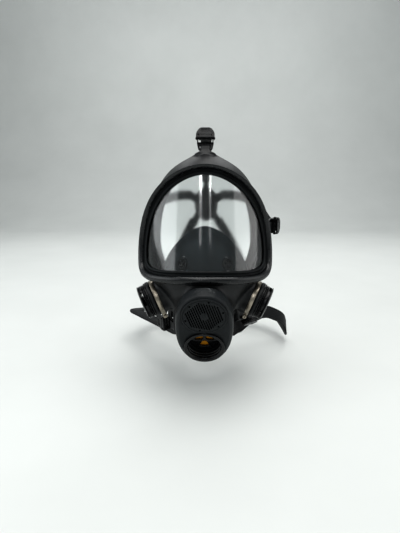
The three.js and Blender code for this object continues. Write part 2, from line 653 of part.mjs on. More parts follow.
for (const [name, frame] of Object.entries(innerValves)) {
  part.add(frame);
  const pin = disc(1.1, -3.8, 0.6, 8);
  const bridge = join(ring(VALVE.inner, VALVE.outer, -1.6, 1.8, 16), box(-6, 6, -1, 1, -1, 1.2), pin);
  add(`inner_seat_${name}`, bridge, PLASTIC, frame);
  add(`inner_flap_${name}`, ring(1.5, 7.6, -2.6, -1.95, 16), SOFT_RUBBER, frame);
}

// ---- harness: a pad behind the head and five straps ----
const HEAD_AT = vec(0, HEAD.y, HEAD.z);
const HEAD_SIZE = vec(HEAD.x, HEAD.deep, HEAD.high);
const onHead = (direction, scale) => (
  direction.clone().normalize().multiply(HEAD_SIZE).multiplyScalar(scale).add(HEAD_AT)
);
const headNormal = (p) => p.clone().sub(HEAD_AT).divide(HEAD_SIZE).divide(HEAD_SIZE).normalize();

// A flat strap through centre points, each with the normal of its face.
function ribbon(stops, wide = STRAP.wide, thick = STRAP.thick) {
  const sections = stops.map(({ at, normal }, i) => {
    const before = stops[Math.max(i - 1, 0)].at;
    const after = stops[Math.min(i + 1, stops.length - 1)].at;
    const across = after.clone().sub(before).cross(normal).normalize();
    return [[-1, -1], [1, -1], [1, 1], [-1, 1]].map(([u, v]) =>
      at.clone().addScaledVector(across, (u * wide) / 2).addScaledVector(normal, (v * thick) / 2));
  });
  return loft(sections);
}

const PAD = { at: vec(0, 1, 0.26).normalize(), scale: 1.035, thick: 2.4 };
// How the pad's outline reaches towards each strap, as an angle from the pad's middle.
const ARMS = {
  top: { turn: 90, reach: 0.42 },
  temple_right: { turn: 22, reach: 0.46 },
  temple_left: { turn: 158, reach: 0.46 },
  lower_right: { turn: -42, reach: 0.46 },
  lower_left: { turn: -138, reach: 0.46 },
};
function padDirection(turn, reach) {
  const right = vec(1, 0, 0);
  const up = right.clone().cross(PAD.at);
  const side = right.multiplyScalar(Math.cos(turn)).addScaledVector(up, Math.sin(turn));
  return PAD.at.clone().multiplyScalar(Math.cos(reach)).addScaledVector(side, Math.sin(reach));
}
function harnessPad() {
  const reachAt = (turn) => Object.values(ARMS).reduce((most, arm) => {
    const away = Math.atan2(Math.sin(turn - rad(arm.turn)), Math.cos(turn - rad(arm.turn)));
    return Math.max(most, arm.reach * Math.exp(-((away / 0.3) ** 2)));
  }, 0.24);
  const layer = (scale, share) => angles(40).map((turn) => (
    onHead(padDirection(turn, share * reachAt(turn)), scale)
  ));
  const outer = PAD.scale + PAD.thick / HEAD.deep;
  return loft([layer(PAD.scale, 0.5), layer(PAD.scale, 1), layer(outer, 1), layer(outer, 0.5)]);
}
add("harness_pad", harnessPad(), RUBBER);

// The points after `from` of a line pulled tight to `to` over the head, grown by `scale`.
function tautOverHead(from, to, scale, steps) {
  const line = Array.from({ length: steps + 1 }, (_, i) => from.clone().lerp(to, i / steps));
  for (let round = 0; round < 60; round++) {
    for (let i = 1; i < steps; i++) {
      line[i].copy(line[i - 1]).add(line[i + 1]).multiplyScalar(0.5);
      const out = line[i].clone().sub(HEAD_AT).divide(HEAD_SIZE);
      if (out.length() < scale) line[i].copy(onHead(out, scale));
    }
  }
  return line.slice(1);
}

const WRAP = ROLLER.radius + GAP + STRAP.thick / 2;
// What is left of each strap past its roller.
const TAILS = { top: 7, temple_right: 6, temple_left: 6, lower_right: 14, lower_left: 12 };
function strapStops(name) {
  const { matrix } = BUCKLES[name];
  const stop = (y, z, ny, nz) => ({
    at: vec(0, y, z).applyMatrix4(matrix),
    normal: vec(0, ny, nz).transformDirection(matrix),
  });
  const stops = [stop(ROLLER.y + TAILS[name], WRAP, 0, 1)];
  for (let i = 0; i <= 4; i++) {
    const turn = Math.PI / 2 - (Math.PI * i) / 4;
    const [sine, cosine] = [Math.sin(turn), Math.cos(turn)];
    stops.push(stop(ROLLER.y - WRAP * cosine, WRAP * sine, -cosine, sine));
  }
  const leave = stop(ROLLER.y + 9, -WRAP - 0.6, 0, -1);
  stops.push(leave);
  const arm = ARMS[name];
  const scale = PAD.scale + (PAD.thick + GAP + 0.3 + STRAP.thick / 2) / HEAD.x;
  const end = onHead(padDirection(rad(arm.turn), arm.reach * 0.72), scale);
  for (const at of tautOverHead(leave.at, end, scale, 9)) {
    stops.push({ at, normal: headNormal(at).negate() });
  }
  return stops;
}
for (const name of Object.keys(BUCKLES)) add(`strap_${name}`, ribbon(strapStops(name)), RUBBER);

// ---- neck strap, from a stud on one side of the chin round to the other ----
const NECK_STRAP = { wide: 18, thick: 2.4 };
const NECK_ROUTE = [
  [-30, -14, -136], [-50, 14, -138], [-74, 42, -138], [-98, 70, -138], [-114, 96, -140], [-98, 130, -149],
  [-44, 152, -150], [24, 156, -150], [78, 148, -152], [108, 130, -156], [123, 108, -164], [127.5, 90, -168],
  [126, 76, -159], [120.5, 66, -144.5], [113, 57, -136], [102, 47, -128], [89, 37, -121], [76, 27, -119.5],
  [62, 17, -122], [50, 5, -127], [38, -8, -132], [28, -24, -133],
];
// Which way the strap's face looks, by the share of the route: it stands on edge where it turns back.
const NECK_FACES = [
  [0.07, [0, 0, -1]], [0.38, [0, 0, -1]], [0.5, [-1, 0.1, -0.2]], [0.62, [-0.95, 0.3, -0.1]],
  [0.74, [-0.5, 0.75, -0.43]], [0.86, [-0.5, 0.75, -0.43]], [0.93, [0, 0, -1]],
];
const STUD = { column: 28, radius: 4.4, start: 1.3, end: 4.4 }; // on the chin, either side of the middle
function chinPlace(side, away) {
  const i = side < 0 ? STUD.column : 60 - STUD.column;
  const outward = gridNormal(skirtGrid, i, 6).negate();
  return { at: skirtGrid[i][6].clone().addScaledVector(outward, away), normal: outward };
}
function neckStrap() {
  const lie = STUD.end + GAP + NECK_STRAP.thick / 2;
  const [left, right] = [-1, 1].map((side) => chinPlace(side, lie));
  const route = [left.at, ...NECK_ROUTE.map((p) => vec(...p)), right.at];
  const curve = new THREE.CatmullRomCurve3(route, false, "centripetal");
  const steps = 64;
  const between = NECK_FACES.map(([share, face]) => [share, vec(...face)]);
  const faces = [[0, left.normal], ...between, [1, right.normal]];
  const stops = curve.getPoints(steps).map((at, i) => {
    const share = i / steps;
    const after = Math.max(1, faces.findIndex(([next]) => next >= share));
    const [from, low] = faces[after - 1];
    const [to, high] = faces[after];
    const face = low.clone().lerp(high, THREE.MathUtils.smoothstep(share, from, to));
    const along = curve.getTangent(share);
    return { at, normal: face.addScaledVector(along, -face.dot(along)).normalize() };
  });
  return ribbon(stops, NECK_STRAP.wide, NECK_STRAP.thick);
}
add("neck_strap", neckStrap(), RUBBER);
for (const [name, side] of [["left", -1], ["right", 1]]) {
  const { at, normal } = chinPlace(side, 0);
  const frame = frameAt(at.toArray(), new THREE.Quaternion().setFromUnitVectors(vec(0, 0, 1), normal));
  part.add(frame);
  add(`neck_strap_stud_${name}`, disc(STUD.radius, STUD.start, STUD.end, 16), BLACK_STEEL, frame);
}

export default part;
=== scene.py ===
"""Visual model of a full face respirator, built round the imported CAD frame.

Shapes are worked out in millimetres in the row frame (+Z up, -Y is where the wearer looks)
and turned into metres where each mesh is made.
"""
import math

import bmesh
import bpy
import numpy as np
import openvdb
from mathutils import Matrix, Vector


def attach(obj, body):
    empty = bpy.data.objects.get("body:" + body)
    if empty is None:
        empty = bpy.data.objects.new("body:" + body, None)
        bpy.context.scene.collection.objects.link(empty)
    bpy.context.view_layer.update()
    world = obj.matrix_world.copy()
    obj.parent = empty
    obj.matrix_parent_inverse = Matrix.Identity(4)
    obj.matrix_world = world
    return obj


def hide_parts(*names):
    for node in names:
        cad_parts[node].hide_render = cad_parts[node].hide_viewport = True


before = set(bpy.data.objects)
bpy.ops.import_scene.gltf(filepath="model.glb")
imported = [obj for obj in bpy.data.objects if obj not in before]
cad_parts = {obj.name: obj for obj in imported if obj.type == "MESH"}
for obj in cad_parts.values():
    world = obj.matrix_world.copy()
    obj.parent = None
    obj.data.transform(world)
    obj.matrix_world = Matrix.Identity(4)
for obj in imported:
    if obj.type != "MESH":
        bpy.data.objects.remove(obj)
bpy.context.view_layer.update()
BASE_BODY = "facepiece"
MM = 0.001
GAP = 0.35

# ---- sizes, in millimetres and degrees, as in the CAD ----
VISOR = dict(
    tilt=12.6, y=2, z=2, radius=82, thick=2, half=83, up=85, down=24, mid=-31, up_power=1.8, down_power=3.8,
)
RIM = dict(inner=4.6, back=79.2, front=90, wide=11.4, wider=2.1, clear=0.25)
SHELL = dict(thick=3, half=74, up=102, down=126, mid=-10, up_power=2.2, down_power=1.6)
SEAL_DEPTH = 38
TEMPLE_Y = 6
PEAK = dict(high=7, wide=16)
UNIT = dict(tilt=25, y=-100, z=-101)
SPEECH_Z = 26
INLET_Z = -23
EGG_POWER = 2.3
BODY_END = 16
NECK = dict(half=27, top=40, bottom=-43, end=34)
PORT = dict(x=59.1, y=-45, z=-75.4, axis=(0.904, -0.216, -0.368))
HEAD_AT = np.array((0, 58, -2), float)
HEAD_SIZE = np.array((77, 97, 116), float)
COLLAR = dict(start=17.2, end=46, thick=3.2)
VOXEL = 1.0


def rad(degrees):
    return math.radians(degrees)


def power(value, exponent):
    return np.sign(value) * np.abs(value) ** exponent


# ---- frames: local axes as the columns of a matrix, and an origin ----
class Place:
    def __init__(self, origin, columns):
        self.origin = np.array(origin, float)
        self.columns = np.array(columns, float).T

    def __call__(self, points):
        return np.asarray(points, float) @ self.columns.T + self.origin


def unit_vector(v):
    v = np.array(v, float)
    return v / np.linalg.norm(v, axis=-1, keepdims=True)


def about_x(origin, degrees):
    c, s = math.cos(rad(degrees)), math.sin(rad(degrees))
    return Place(origin, [(1, 0, 0), (0, c, s), (0, -s, c)])


def port_place(side):
    axis = unit_vector((side * PORT["axis"][0], PORT["axis"][1], PORT["axis"][2]))
    down = unit_vector(np.array([0, 0, -1]) + axis * axis[2])
    return Place((side * PORT["x"], PORT["y"], PORT["z"]), [down, np.cross(axis, down), axis])


def buckle_place(origin, along, outward):
    y = unit_vector(along)
    x = unit_vector(np.cross(y, outward))
    return Place(origin, [x, y, np.cross(x, y)])


WORLD = Place((0, 0, 0), np.eye(3))
VISOR_AT = about_x((0, VISOR["y"], VISOR["z"]), -VISOR["tilt"])
UNIT_AT = about_x((0, UNIT["y"], UNIT["z"]), UNIT["tilt"])
PORTS = {"right": port_place(1), "left": port_place(-1)}
BUCKLES = {
    "top": buckle_place((0, -30, 110.5), (0, 0.42, 0.91), (0, -0.91, 0.42)),
    "temple_right": buckle_place((86.5, 8, 7.5), (0.44, 0.9, 0.02), (0.9, -0.44, 0)),
    "temple_left": buckle_place((-77.6, 25, 6.5), (0.09, 1, 0.02), (-1, 0.09, 0)),
    "lower_right": buckle_place((55, -14, -112), (0.86, 0.5, -0.08), (0.02, -0.6, -0.8)),
    "lower_left": buckle_place((-49.5, -15, -118), (-0.72, 0.68, 0.12), (-0.66, -0.72, -0.2)),
}


# ---- meshes ----
def quads(rows, count, closed_rows=False, closed_line=True):
    """Faces of a grid of rows, each a line of `count` points."""
    faces = []
    for i in range(rows if closed_rows else rows - 1):
        a, b = i * count, ((i + 1) % rows) * count
        for j in range(count if closed_line else count - 1):
            k = (j + 1) % count
            faces.append((a + j, a + k, b + k, b + j))
    return faces


def loft(sections, closed=False):
    """Points and faces of a closed body through sections of equal point count."""
    sections = np.asarray(sections, float)
    rows, count, _ = sections.shape
    faces = quads(rows, count, closed)
    if not closed:
        faces.append(tuple(range(count))[::-1])
        faces.append(tuple(range((rows - 1) * count, rows * count)))
    return sections.reshape(-1, 3), faces


def rounded(corners, radius, steps=3, closed=True):
    """A polygon whose corners are turned by arcs of about that radius: one for all, or one for each."""
    corners = [np.array(c, float) for c in corners]
    radii = radius if hasattr(radius, "__len__") else [radius] * len(corners)
    out = []
    for i, corner in enumerate(corners):
        if not closed and i in (0, len(corners) - 1):
            out.append(corner)
            continue
        before, after = corners[i - 1], corners[(i + 1) % len(corners)]
        a, b = before - corner, after - corner
        la, lb = np.linalg.norm(a), np.linalg.norm(b)
        reach = min(radii[i], 0.45 * la, 0.45 * lb)
        if reach < 1e-4:
            out.append(corner)
            continue
        start, end = corner + a / la * reach, corner + b / lb * reach
        for t in np.linspace(0, 1, steps + 1):
            out.append((1 - t) ** 2 * start + 2 * t * (1 - t) * corner + t**2 * end)
    return np.array(out)


def turned(profile, sides=96):
    """A turned body about local z from (radius, z) corners, closed on themselves or on the axis."""
    profile = np.asarray(profile, float)
    turns = np.arange(sides) * 2 * math.pi / sides
    solid = min(profile[:, 0]) < 1e-6
    points, rings = [], []
    for r, z in profile:
        if r < 1e-6:
            rings.append([len(points)] * sides)
            points.append((0, 0, z))
        else:
            rings.append(list(range(len(points), len(points) + sides)))
            points += [(r * math.cos(t), r * math.sin(t), z) for t in turns]
    faces = []
    for low, high in zip(rings, rings[1:] + ([] if solid else rings[:1])):
        for j in range(sides):
            k = (j + 1) % sides
            face = list(dict.fromkeys((low[j], low[k], high[k], high[j])))
            if len(face) > 2:
                faces.append(tuple(face))
    return np.array(points), faces


def disc(radius, z0, z1, round_by=0.0, sides=96):
    corners = [(0, z0), (radius, z0), (radius, z1), (0, z1)]
    return turned(rounded(corners, round_by, closed=False) if round_by else corners, sides)


def ring(inner, outer, z0, z1, round_by=0.25, sides=96):
    return turned(rounded(rectangle(inner, outer, z0, z1), round_by, 2), sides)


def prism(outline, z0, z1):
    outline = np.asarray(outline, float)
    return loft([np.c_[outline, np.full(len(outline), z)] for z in (z0, z1)])


def rectangle(x0, x1, y0, y1):
    return [(x0, y0), (x1, y0), (x1, y1), (x0, y1)]


def box(x0, x1, y0, y1, z0, z1):
    return prism(rectangle(x0, x1, y0, y1), z0, z1)


def shifted(shape, place):
    return place(shape[0]), shape[1]


def spun(shape, degrees):
    c, s = math.cos(rad(degrees)), math.sin(rad(degrees))
    return shape[0] @ np.array([(c, s, 0), (-s, c, 0), (0, 0, 1)]), shape[1]


def moved(shape, x=0, y=0, z=0):
    return shape[0] + np.array([x, y, z]), shape[1]


def swapped(shape, order):
    """The same body with its coordinates in another order, such as "yzx"."""
    return shape[0][:, ["xyz".index(c) for c in order]], shape[1]


def together(shapes):
    """Several bodies that don't touch, as one shape."""
    points, faces, start = [], [], 0
    for some_points, some_faces in shapes:
        points.append(some_points)
        faces += [tuple(start + i for i in face) for face in some_faces]
        start += len(some_points)
    return np.concatenate(points), faces


def between(t, a, b, p, q):
    """The point at t on a line that passes p at a and q at b."""
    return ((b - t) * p + (t - a) * q) / (b - a)


def spline(points, steps):
    """A centripetal Catmull-Rom curve through points, with that many steps in all."""
    points = np.asarray(points, float)
    padded = np.vstack([2 * points[0] - points[1], points, 2 * points[-1] - points[-2]])
    out = []
    for at in np.linspace(0, len(points) - 1, steps + 1):
        i = min(int(at), len(points) - 2)
        p = padded[i : i + 4]
        chords = np.maximum(np.linalg.norm(np.diff(p[:, :3], axis=0), axis=1), 1e-6)
        knots = np.r_[0, np.cumsum(chords**0.5)]
        t = knots[1] + (at - i) * (knots[2] - knots[1])
        a = [between(t, knots[k], knots[k + 1], p[k], p[k + 1]) for k in range(3)]
        b = [between(t, knots[k], knots[k + 2], a[k], a[k + 1]) for k in range(2)]
        out.append(between(t, knots[1], knots[2], b[0], b[1]))
    return np.array(out)


def new_object(name, shape):
    mesh = bpy.data.meshes.new(name)
    mesh.from_pydata([tuple(p) for p in shape[0] * MM], [], shape[1])
    work = bmesh.new()
    work.from_mesh(mesh)
    bmesh.ops.remove_doubles(work, verts=work.verts, dist=1e-7)
    bmesh.ops.recalc_face_normals(work, faces=work.faces)
    work.to_mesh(mesh)
    work.free()
    obj = bpy.data.objects.new(name, mesh)
    bpy.context.collection.objects.link(obj)
    return obj


def settle(obj):
    """Turns an object's modifiers into its mesh."""
    evaluated = obj.evaluated_get(bpy.context.evaluated_depsgraph_get())
    mesh = bpy.data.meshes.new_from_object(evaluated)
    obj.modifiers.clear()
    old = obj.data
    obj.data = mesh
    bpy.data.meshes.remove(old)


def combine(obj, shapes, operation):
    for index, shape in enumerate(shapes):
        tool = new_object(f"{obj.name}_tool_{index}", shape)
        step = obj.modifiers.new("combine", "BOOLEAN")
        step.operation = operation
        step.solver = "MANIFOLD"
        step.object = tool
        settle(obj)
        bpy.data.objects.remove(tool)


def bevelled(obj, width, segments=2, angle=32):
    step = obj.modifiers.new("bevel", "BEVEL")
    step.width = width * MM
    step.segments = segments
    step.limit_method = "ANGLE"
    step.angle_limit = rad(angle)
    step.use_clamp_overlap = True
    settle(obj)


def piece(name, shape, finish, node=None, at=WORLD, moves=False, cut=(), add=(), bevel=0.0, sharp=35):
    """A finished piece in place of a CAD node: its mesh, what is joined to it, cut from it, and its finish.

    The shapes are drawn at the origin of `at`. A piece that moves rides on the body named as its node.
    """
    node = node or name
    obj = new_object(name, shifted(shape, at))
    combine(obj, [shifted(s, at) for s in add], "UNION")
    combine(obj, [shifted(s, at) for s in cut], "DIFFERENCE")
    if bevel:
        bevelled(obj, bevel)
    obj.data.shade_smooth()
    obj.data.set_sharp_from_angle(angle=rad(sharp))
    obj.data.materials.clear()
    obj.data.materials.append(finish)
    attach(obj, node if moves else BASE_BODY)
    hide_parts(node)


# ---- materials ----
class Finish:
    """A material, with textures that lie in object coordinates."""

    def __init__(self, name):
        self.material = bpy.data.materials.new(name)
        self.material.use_nodes = True
        self.nodes, self.links = self.material.node_tree.nodes, self.material.node_tree.links
        self.sockets = self.nodes["Principled BSDF"].inputs
        self.where = self.nodes.new("ShaderNodeTexCoord").outputs["Object"]

    def noise(self, scale, detail=4, roughness=0.6, stretch=None):
        node = self.nodes.new("ShaderNodeTexNoise")
        node.inputs["Scale"].default_value = scale
        node.inputs["Detail"].default_value = detail
        node.inputs["Roughness"].default_value = roughness
        where = self.where
        if stretch:
            mapping = self.nodes.new("ShaderNodeMapping")
            mapping.inputs["Scale"].default_value = stretch
            self.links.new(where, mapping.inputs["Vector"])
            where = mapping.outputs["Vector"]
        self.links.new(where, node.inputs["Vector"])
        return node.outputs["Fac"]

    def ramp(self, socket, source, *stops):
        """Feeds a socket with the colours, or greys, between two stops of a texture."""
        node = self.nodes.new("ShaderNodeValToRGB")
        for element, (at, color) in zip(node.color_ramp.elements, stops):
            element.position = at
            element.color = (*color, 1) if hasattr(color, "__len__") else (color, color, color, 1)
        self.links.new(source, node.inputs["Fac"])
        self.links.new(node.outputs["Color"], self.sockets[socket])

    def set(self, **values):
        for name, value in values.items():
            self.sockets[name.replace("_", " ")].default_value = value


MOTTLE = 60.0


def surface(name, dark, light, rough, grain, bump, metallic=0.0, coat=0.0, specular=0.5):
    """A moulded or plated surface: slow colour drift, a roughness that varies, and a fine grain in relief."""
    made = Finish(name)
    made.ramp("Base Color", made.noise(MOTTLE, 5), (0.3, dark), (0.72, light))
    made.ramp("Roughness", made.noise(MOTTLE * 6, 6, 0.7), (0.3, rough[0]), (0.7, rough[1]))
    relief = made.nodes.new("ShaderNodeBump")
    relief.inputs["Strength"].default_value = bump
    relief.inputs["Distance"].default_value = 0.0004
    made.links.new(made.noise(grain, 3, 0.6), relief.inputs["Height"])
    made.links.new(relief.outputs["Normal"], made.sockets["Normal"])
    made.set(Metallic=metallic, Specular_IOR_Level=specular)
    if coat:
        made.set(Coat_Weight=coat, Coat_Roughness=0.12)
    return made.material


def clear_lens():
    made = Finish("clear_polycarbonate")
    made.ramp("Roughness", made.noise(90, 6, 0.7, (1, 1, 0.12)), (0.35, 0.06), (0.8, 0.17))
    made.set(Base_Color=(0.93, 0.96, 0.96, 1), Transmission_Weight=1.0, IOR=1.52)
    made.set(Coat_Weight=0.35, Coat_Roughness=0.04)
    return made.material


RUBBER = surface(
    "black_facepiece_rubber",
    (0.006, 0.007, 0.0082), (0.0115, 0.0135, 0.0155), (0.34, 0.46), 2600, 0.14,
)
RIM_RUBBER = surface(
    "black_rim_rubber",
    (0.0065, 0.0078, 0.009), (0.012, 0.014, 0.0162), (0.24, 0.34), 2400, 0.06, specular=0.65,
)
SOFT = surface(
    "soft_seal_rubber",
    (0.006, 0.0075, 0.0085), (0.012, 0.0145, 0.016), (0.4, 0.55), 1900, 0.12, specular=0.25,
)
INNER = surface(
    "inner_mask_rubber",
    (0.013, 0.021, 0.026), (0.022, 0.034, 0.041), (0.42, 0.58), 1700, 0.12, specular=0.3,
)
STRAP_RUBBER = surface(
    "strap_rubber",
    (0.005, 0.0057, 0.0067), (0.010, 0.0115, 0.013), (0.44, 0.6), 1500, 0.25, specular=0.25,
)
PLASTIC = surface(
    "black_textured_plastic",
    (0.0065, 0.009, 0.0108), (0.011, 0.0145, 0.0168), (0.4, 0.52), 4200, 0.25, specular=0.4,
)
GLOSS = surface(
    "black_smooth_plastic",
    (0.004, 0.0045, 0.0055), (0.007, 0.008, 0.0095), (0.22, 0.3), 3000, 0.03, coat=0.1, specular=0.45,
)
STEEL = surface(
    "nickel_steel",
    (0.37, 0.335, 0.28), (0.45, 0.41, 0.35), (0.27, 0.34), 3000, 0.02, metallic=1.0,
)
BLACK_STEEL = surface(
    "black_plated_steel",
    (0.0035, 0.004, 0.005), (0.008, 0.009, 0.0108), (0.2, 0.32), 1800, 0.06, metallic=0.25,
)
AMBER = surface(
    "amber_silicone",
    (0.44, 0.19, 0.008), (0.58, 0.28, 0.014), (0.38, 0.5), 1200, 0.06, specular=0.3,
)
FILM = surface(
    "diaphragm_film",
    (0.05, 0.05, 0.047), (0.09, 0.09, 0.085), (0.25, 0.4), 900, 0.05, metallic=0.3,
)
LENS = clear_lens()


# ---- visor ----
def visor_edge(phi, grow, share=1.0):
    """Arc length and height on the visor's cylinder, at angles phi round its edge, grown by `grow`."""
    phi = np.asarray(phi, float)
    upper = np.sin(phi) >= 0
    bend = np.where(upper, 2 / VISOR["up_power"], 2 / VISOR["down_power"])
    high = np.where(upper, VISOR["up"], VISOR["down"]) + grow
    along = share * (VISOR["half"] + grow) * power(np.cos(phi), bend)
    return along, VISOR["mid"] + share * high * power(np.sin(phi), bend)


def on_visor(along, height, radius):
    theta = along / VISOR["radius"]
    return np.stack([radius * np.sin(theta), -radius * np.cos(theta), height + 0 * theta], -1)


def even_angles(count):
    """Angles round the visor's edge that space its points about evenly along it."""
    fine = np.linspace(0, 2 * math.pi, 4001)
    along, height = visor_edge(fine, 5)
    steps = np.hypot(np.diff(along), np.diff(height))
    length = np.r_[0, np.cumsum(steps)]
    return np.interp(np.arange(count) / count * length[-1], length, fine)


ROUND_EDGE = even_angles(260)


def rim_width(phi):
    return RIM["wide"] - RIM["wider"] * np.sin(phi)


def visor_loop(profile_at):
    """A closed ring that follows the visor's edge, from a profile of (grow, radius) corners at each angle."""
    sections = []
    for phi in ROUND_EDGE:
        profile = profile_at(phi)
        along, height = visor_edge(phi, profile[:, 0])
        sections.append(on_visor(along, height, profile[:, 1]))
    return shifted(loft(sections, closed=True), VISOR_AT)


def visor_lens():
    shares = np.linspace(1, 0.04, 22)
    outer, inner = VISOR["radius"], VISOR["radius"] - VISOR["thick"]
    rings = [on_visor(*visor_edge(ROUND_EDGE, 2.2, share), outer) for share in shares[::-1]]
    border = visor_edge(ROUND_EDGE, 2.6)
    rings += [on_visor(*border, outer - 0.4), on_visor(*border, inner + 0.4)]
    rings += [on_visor(*visor_edge(ROUND_EDGE, 2.2, share), inner) for share in shares]
    return shifted(loft(rings), VISOR_AT)


def gasket_profile(phi):
    corners = [
        (-1.3, 82.4), (-1.5, 83.1), (-0.6, 83.9), (1.0, 84.3), (2.1, 83.2), (3.0, 83.2), (3.6, 84.6),
        (4.2, 84.6), (4.2, 77.6), (0.4, 77.6), (-1.4, 78.8), (-1.4, 79.6), (3, 79.6), (3, 82.4),
    ]
    return rounded(corners, [0.1, 0.4, 0.6, 0.6, 0.5, 0.4, 0.4, 0.2, 0.4, 0.8, 0.4, 0.1, 0.1, 0.1], 2)


def rim_profile(phi):
    wide = rim_width(phi)
    corners = [
        (RIM["inner"], RIM["back"]), (RIM["inner"], 86.4), (5.4, 88.6), (8.2, RIM["front"]),
        (wide - 1.4, 88.9), (wide, 85.2), (wide, RIM["back"]),
    ]
    return rounded(corners, [0.2, 1.5, 1.8, 3.4, 2.4, 2.6, 0.3], 4)


piece("lens", visor_lens(), LENS, "visor_lens")
piece("lens_gasket", visor_loop(gasket_profile), SOFT, "visor_gasket")
piece("rim", visor_loop(rim_profile), RIM_RUBBER, "visor_rim")


# ---- facepiece shell: its skirt, collar, sockets and lugs blend in a distance field ----
def face_edge(phi):
    phi = np.asarray(phi, float)
    upper = np.sin(phi) >= 0
    bend = np.where(upper, 2 / SHELL["up_power"], 2 / SHELL["down_power"])
    x = SHELL["half"] * power(np.cos(phi), bend)
    z = SHELL["mid"] + np.where(upper, SHELL["up"], SHELL["down"]) * power(np.sin(phi), bend)
    z = z + np.where(upper, PEAK["high"] * np.exp(-((x / PEAK["wide"]) ** 2)), 0)
    return np.stack([x, TEMPLE_Y - SEAL_DEPTH * np.sin(phi) ** 2, z], -1)


def skirt_bulge(phi):
    low = np.maximum(0, -np.sin(phi))
    jaw = np.where(low > 0, np.sin(2 * phi) ** 2, 0)
    return np.stack([-12 * np.sign(np.cos(phi)) * jaw, -4 - 8 * low**2, -6 * low**6], -1)


def skirt_grid(phis, steps):
    """Points [angle, step] of the skirt: a flange behind the rim, then a curve back to the face."""
    start = VISOR_AT(on_visor(*visor_edge(phis, rim_width(phis)), RIM["back"] - GAP))
    flange = VISOR_AT(on_visor(*visor_edge(phis, RIM["inner"]), RIM["back"] - GAP))
    end, bulge = face_edge(phis), skirt_bulge(phis)
    near, far = start + (end - start) * 0.33 + bulge, start + (end - start) * 0.67 + bulge
    columns = [flange]
    for t in np.linspace(0, 1, steps + 1):
        u = 1 - t
        columns.append(u**3 * start + 3 * u * u * t * near + 3 * u * t * t * far + t**3 * end)
    return np.stack(columns, 1)


def grid_normals(grid):
    u = np.roll(grid, -1, 0) - np.roll(grid, 1, 0)
    return unit_vector(np.cross(u, np.gradient(grid, axis=1)))


def skin(grid, near, far):
    """A closed skin between two depths behind a grid that is closed round its first index."""
    n = grid_normals(grid)
    return loft(np.concatenate([grid + n * near, (grid + n * far)[:, ::-1]], 1), closed=True)


def egg(half, top, bottom, y, count=128):
    middle = 2
    phi = np.arange(count) * 2 * math.pi / count
    reach = np.where(np.sin(phi) > 0, top - middle, middle - bottom)
    x, z = power(np.cos(phi), 2 / EGG_POWER), power(np.sin(phi), 2 / EGG_POWER)
    return np.stack([half * x, 0 * phi + y, middle + reach * z], -1)


def neck_egg(grow, y):
    return egg(NECK["half"] + grow, NECK["top"] + grow, NECK["bottom"] - grow, y)


class Field:
    """Signed distances, in voxels, on one grid that holds the whole facepiece."""

    low = np.array([-100.0, -112.0, -148.0])
    high = np.array([100.0, 30.0, 116.0])
    band = 10

    def __init__(self):
        self.shape = tuple(np.ceil((self.high - self.low) / VOXEL).astype(int))

    def of(self, shape, place=WORLD):
        obj = new_object("field_tool", shifted(shape, place))
        mesh = obj.data
        mesh.calc_loop_triangles()
        points = np.array([v.co for v in mesh.vertices], np.float32) / MM
        triangles = np.array([t.vertices for t in mesh.loop_triangles], np.uint32)
        bpy.data.objects.remove(obj)
        grid = openvdb.FloatGrid.createLevelSetFromPolygons(
            ((points - self.low) / VOXEL).astype(np.float32),
            triangles=triangles,
            transform=openvdb.createLinearTransform(voxelSize=1.0),
            halfWidth=self.band,
        )
        values = np.zeros(self.shape, np.float32)
        grid.copyToArray(values, ijk=(0, 0, 0))
        return values

    def mesh(self, values):
        grid = openvdb.FloatGrid(float(self.band))
        grid.copyFromArray(values)
        points, _, faces = grid.convertToPolygons(isovalue=0.0, adaptivity=0.0)
        return points.astype(float) * VOXEL + self.low, [tuple(int(i) for i in f) for f in faces]


def blended(a, b, reach):
    """The union of two fields with a fillet about as wide as `reach` millimetres."""
    k = reach / VOXEL
    h = np.clip(0.5 + 0.5 * (b - a) / k, 0, 1)
    return b * (1 - h) + a * h - k * h * (1 - h)


def without(a, b):
    """The field of what is left of a where b isn't."""
    return np.maximum(a, -b)


SKIRT = skirt_grid(even_angles(220), 30)
FILLET = dict(collar=9, socket=6, tab=4, lug=1.5)
LUG = dict(half=5.9, low=-3.2, high=2.8, start=-17, clear=-13.2)
SLOT = dict(half=6.5, start=-10.2, end=-7)
PATCHES = {
    "top": ((0, -38, 92), 12),
    "temple_right": ((77, -20, 4), 9),
    "temple_left": ((-75.5, -1, 5), 9),
    "lower_right": ((38, -34, -100), 9),
    "lower_left": ((-40, -34, -99), 11),
}
# The web beside each lower buckle: its corners in the buckle's own x and y.
WEBS = {
    "lower_right": [(-10.4, -9), (-12.5, -4), (-18, -8)],
    "lower_left": [(9.2, -13.8), (9.2, -9), (12, -3), (22, -4)],
}
WEB_HALF = 1.3


def socket_outer():
    corners = [(0, -18), (20.9, -18), (20.9, 3.2), (22.1, 3.6), (22.1, 7.6), (0, 7.6)]
    return turned(rounded(corners, [0, 0.3, 0.5, 0.4, 0.7, 0], closed=False))


# What the blends leave free round each socket for the clamp and its ears: a groove that opens outwards.
CLAMP_ROOM = [turned([(20.95, -3.3), (28, -8.5), (28, 3.3), (20.95, 3.3)]), box(21.5, 30, -6.4, 7.6, -4, 4)]


def hull(points):
    work = bmesh.new()
    for p in points:
        work.verts.new(p)
    made = bmesh.ops.convex_hull(work, input=work.verts)
    bmesh.ops.delete(work, geom=list(set(made["geom_interior"] + made["geom_unused"])), context="VERTS")
    work.verts.index_update()
    shape = np.array([v.co for v in work.verts]), [tuple(v.index for v in f.verts) for f in work.faces]
    work.free()
    return shape


COARSE_SKIRT = skirt_grid(np.arange(40) * math.pi / 20, 6)
COARSE_SKIRT_NORMALS = grid_normals(COARSE_SKIRT)


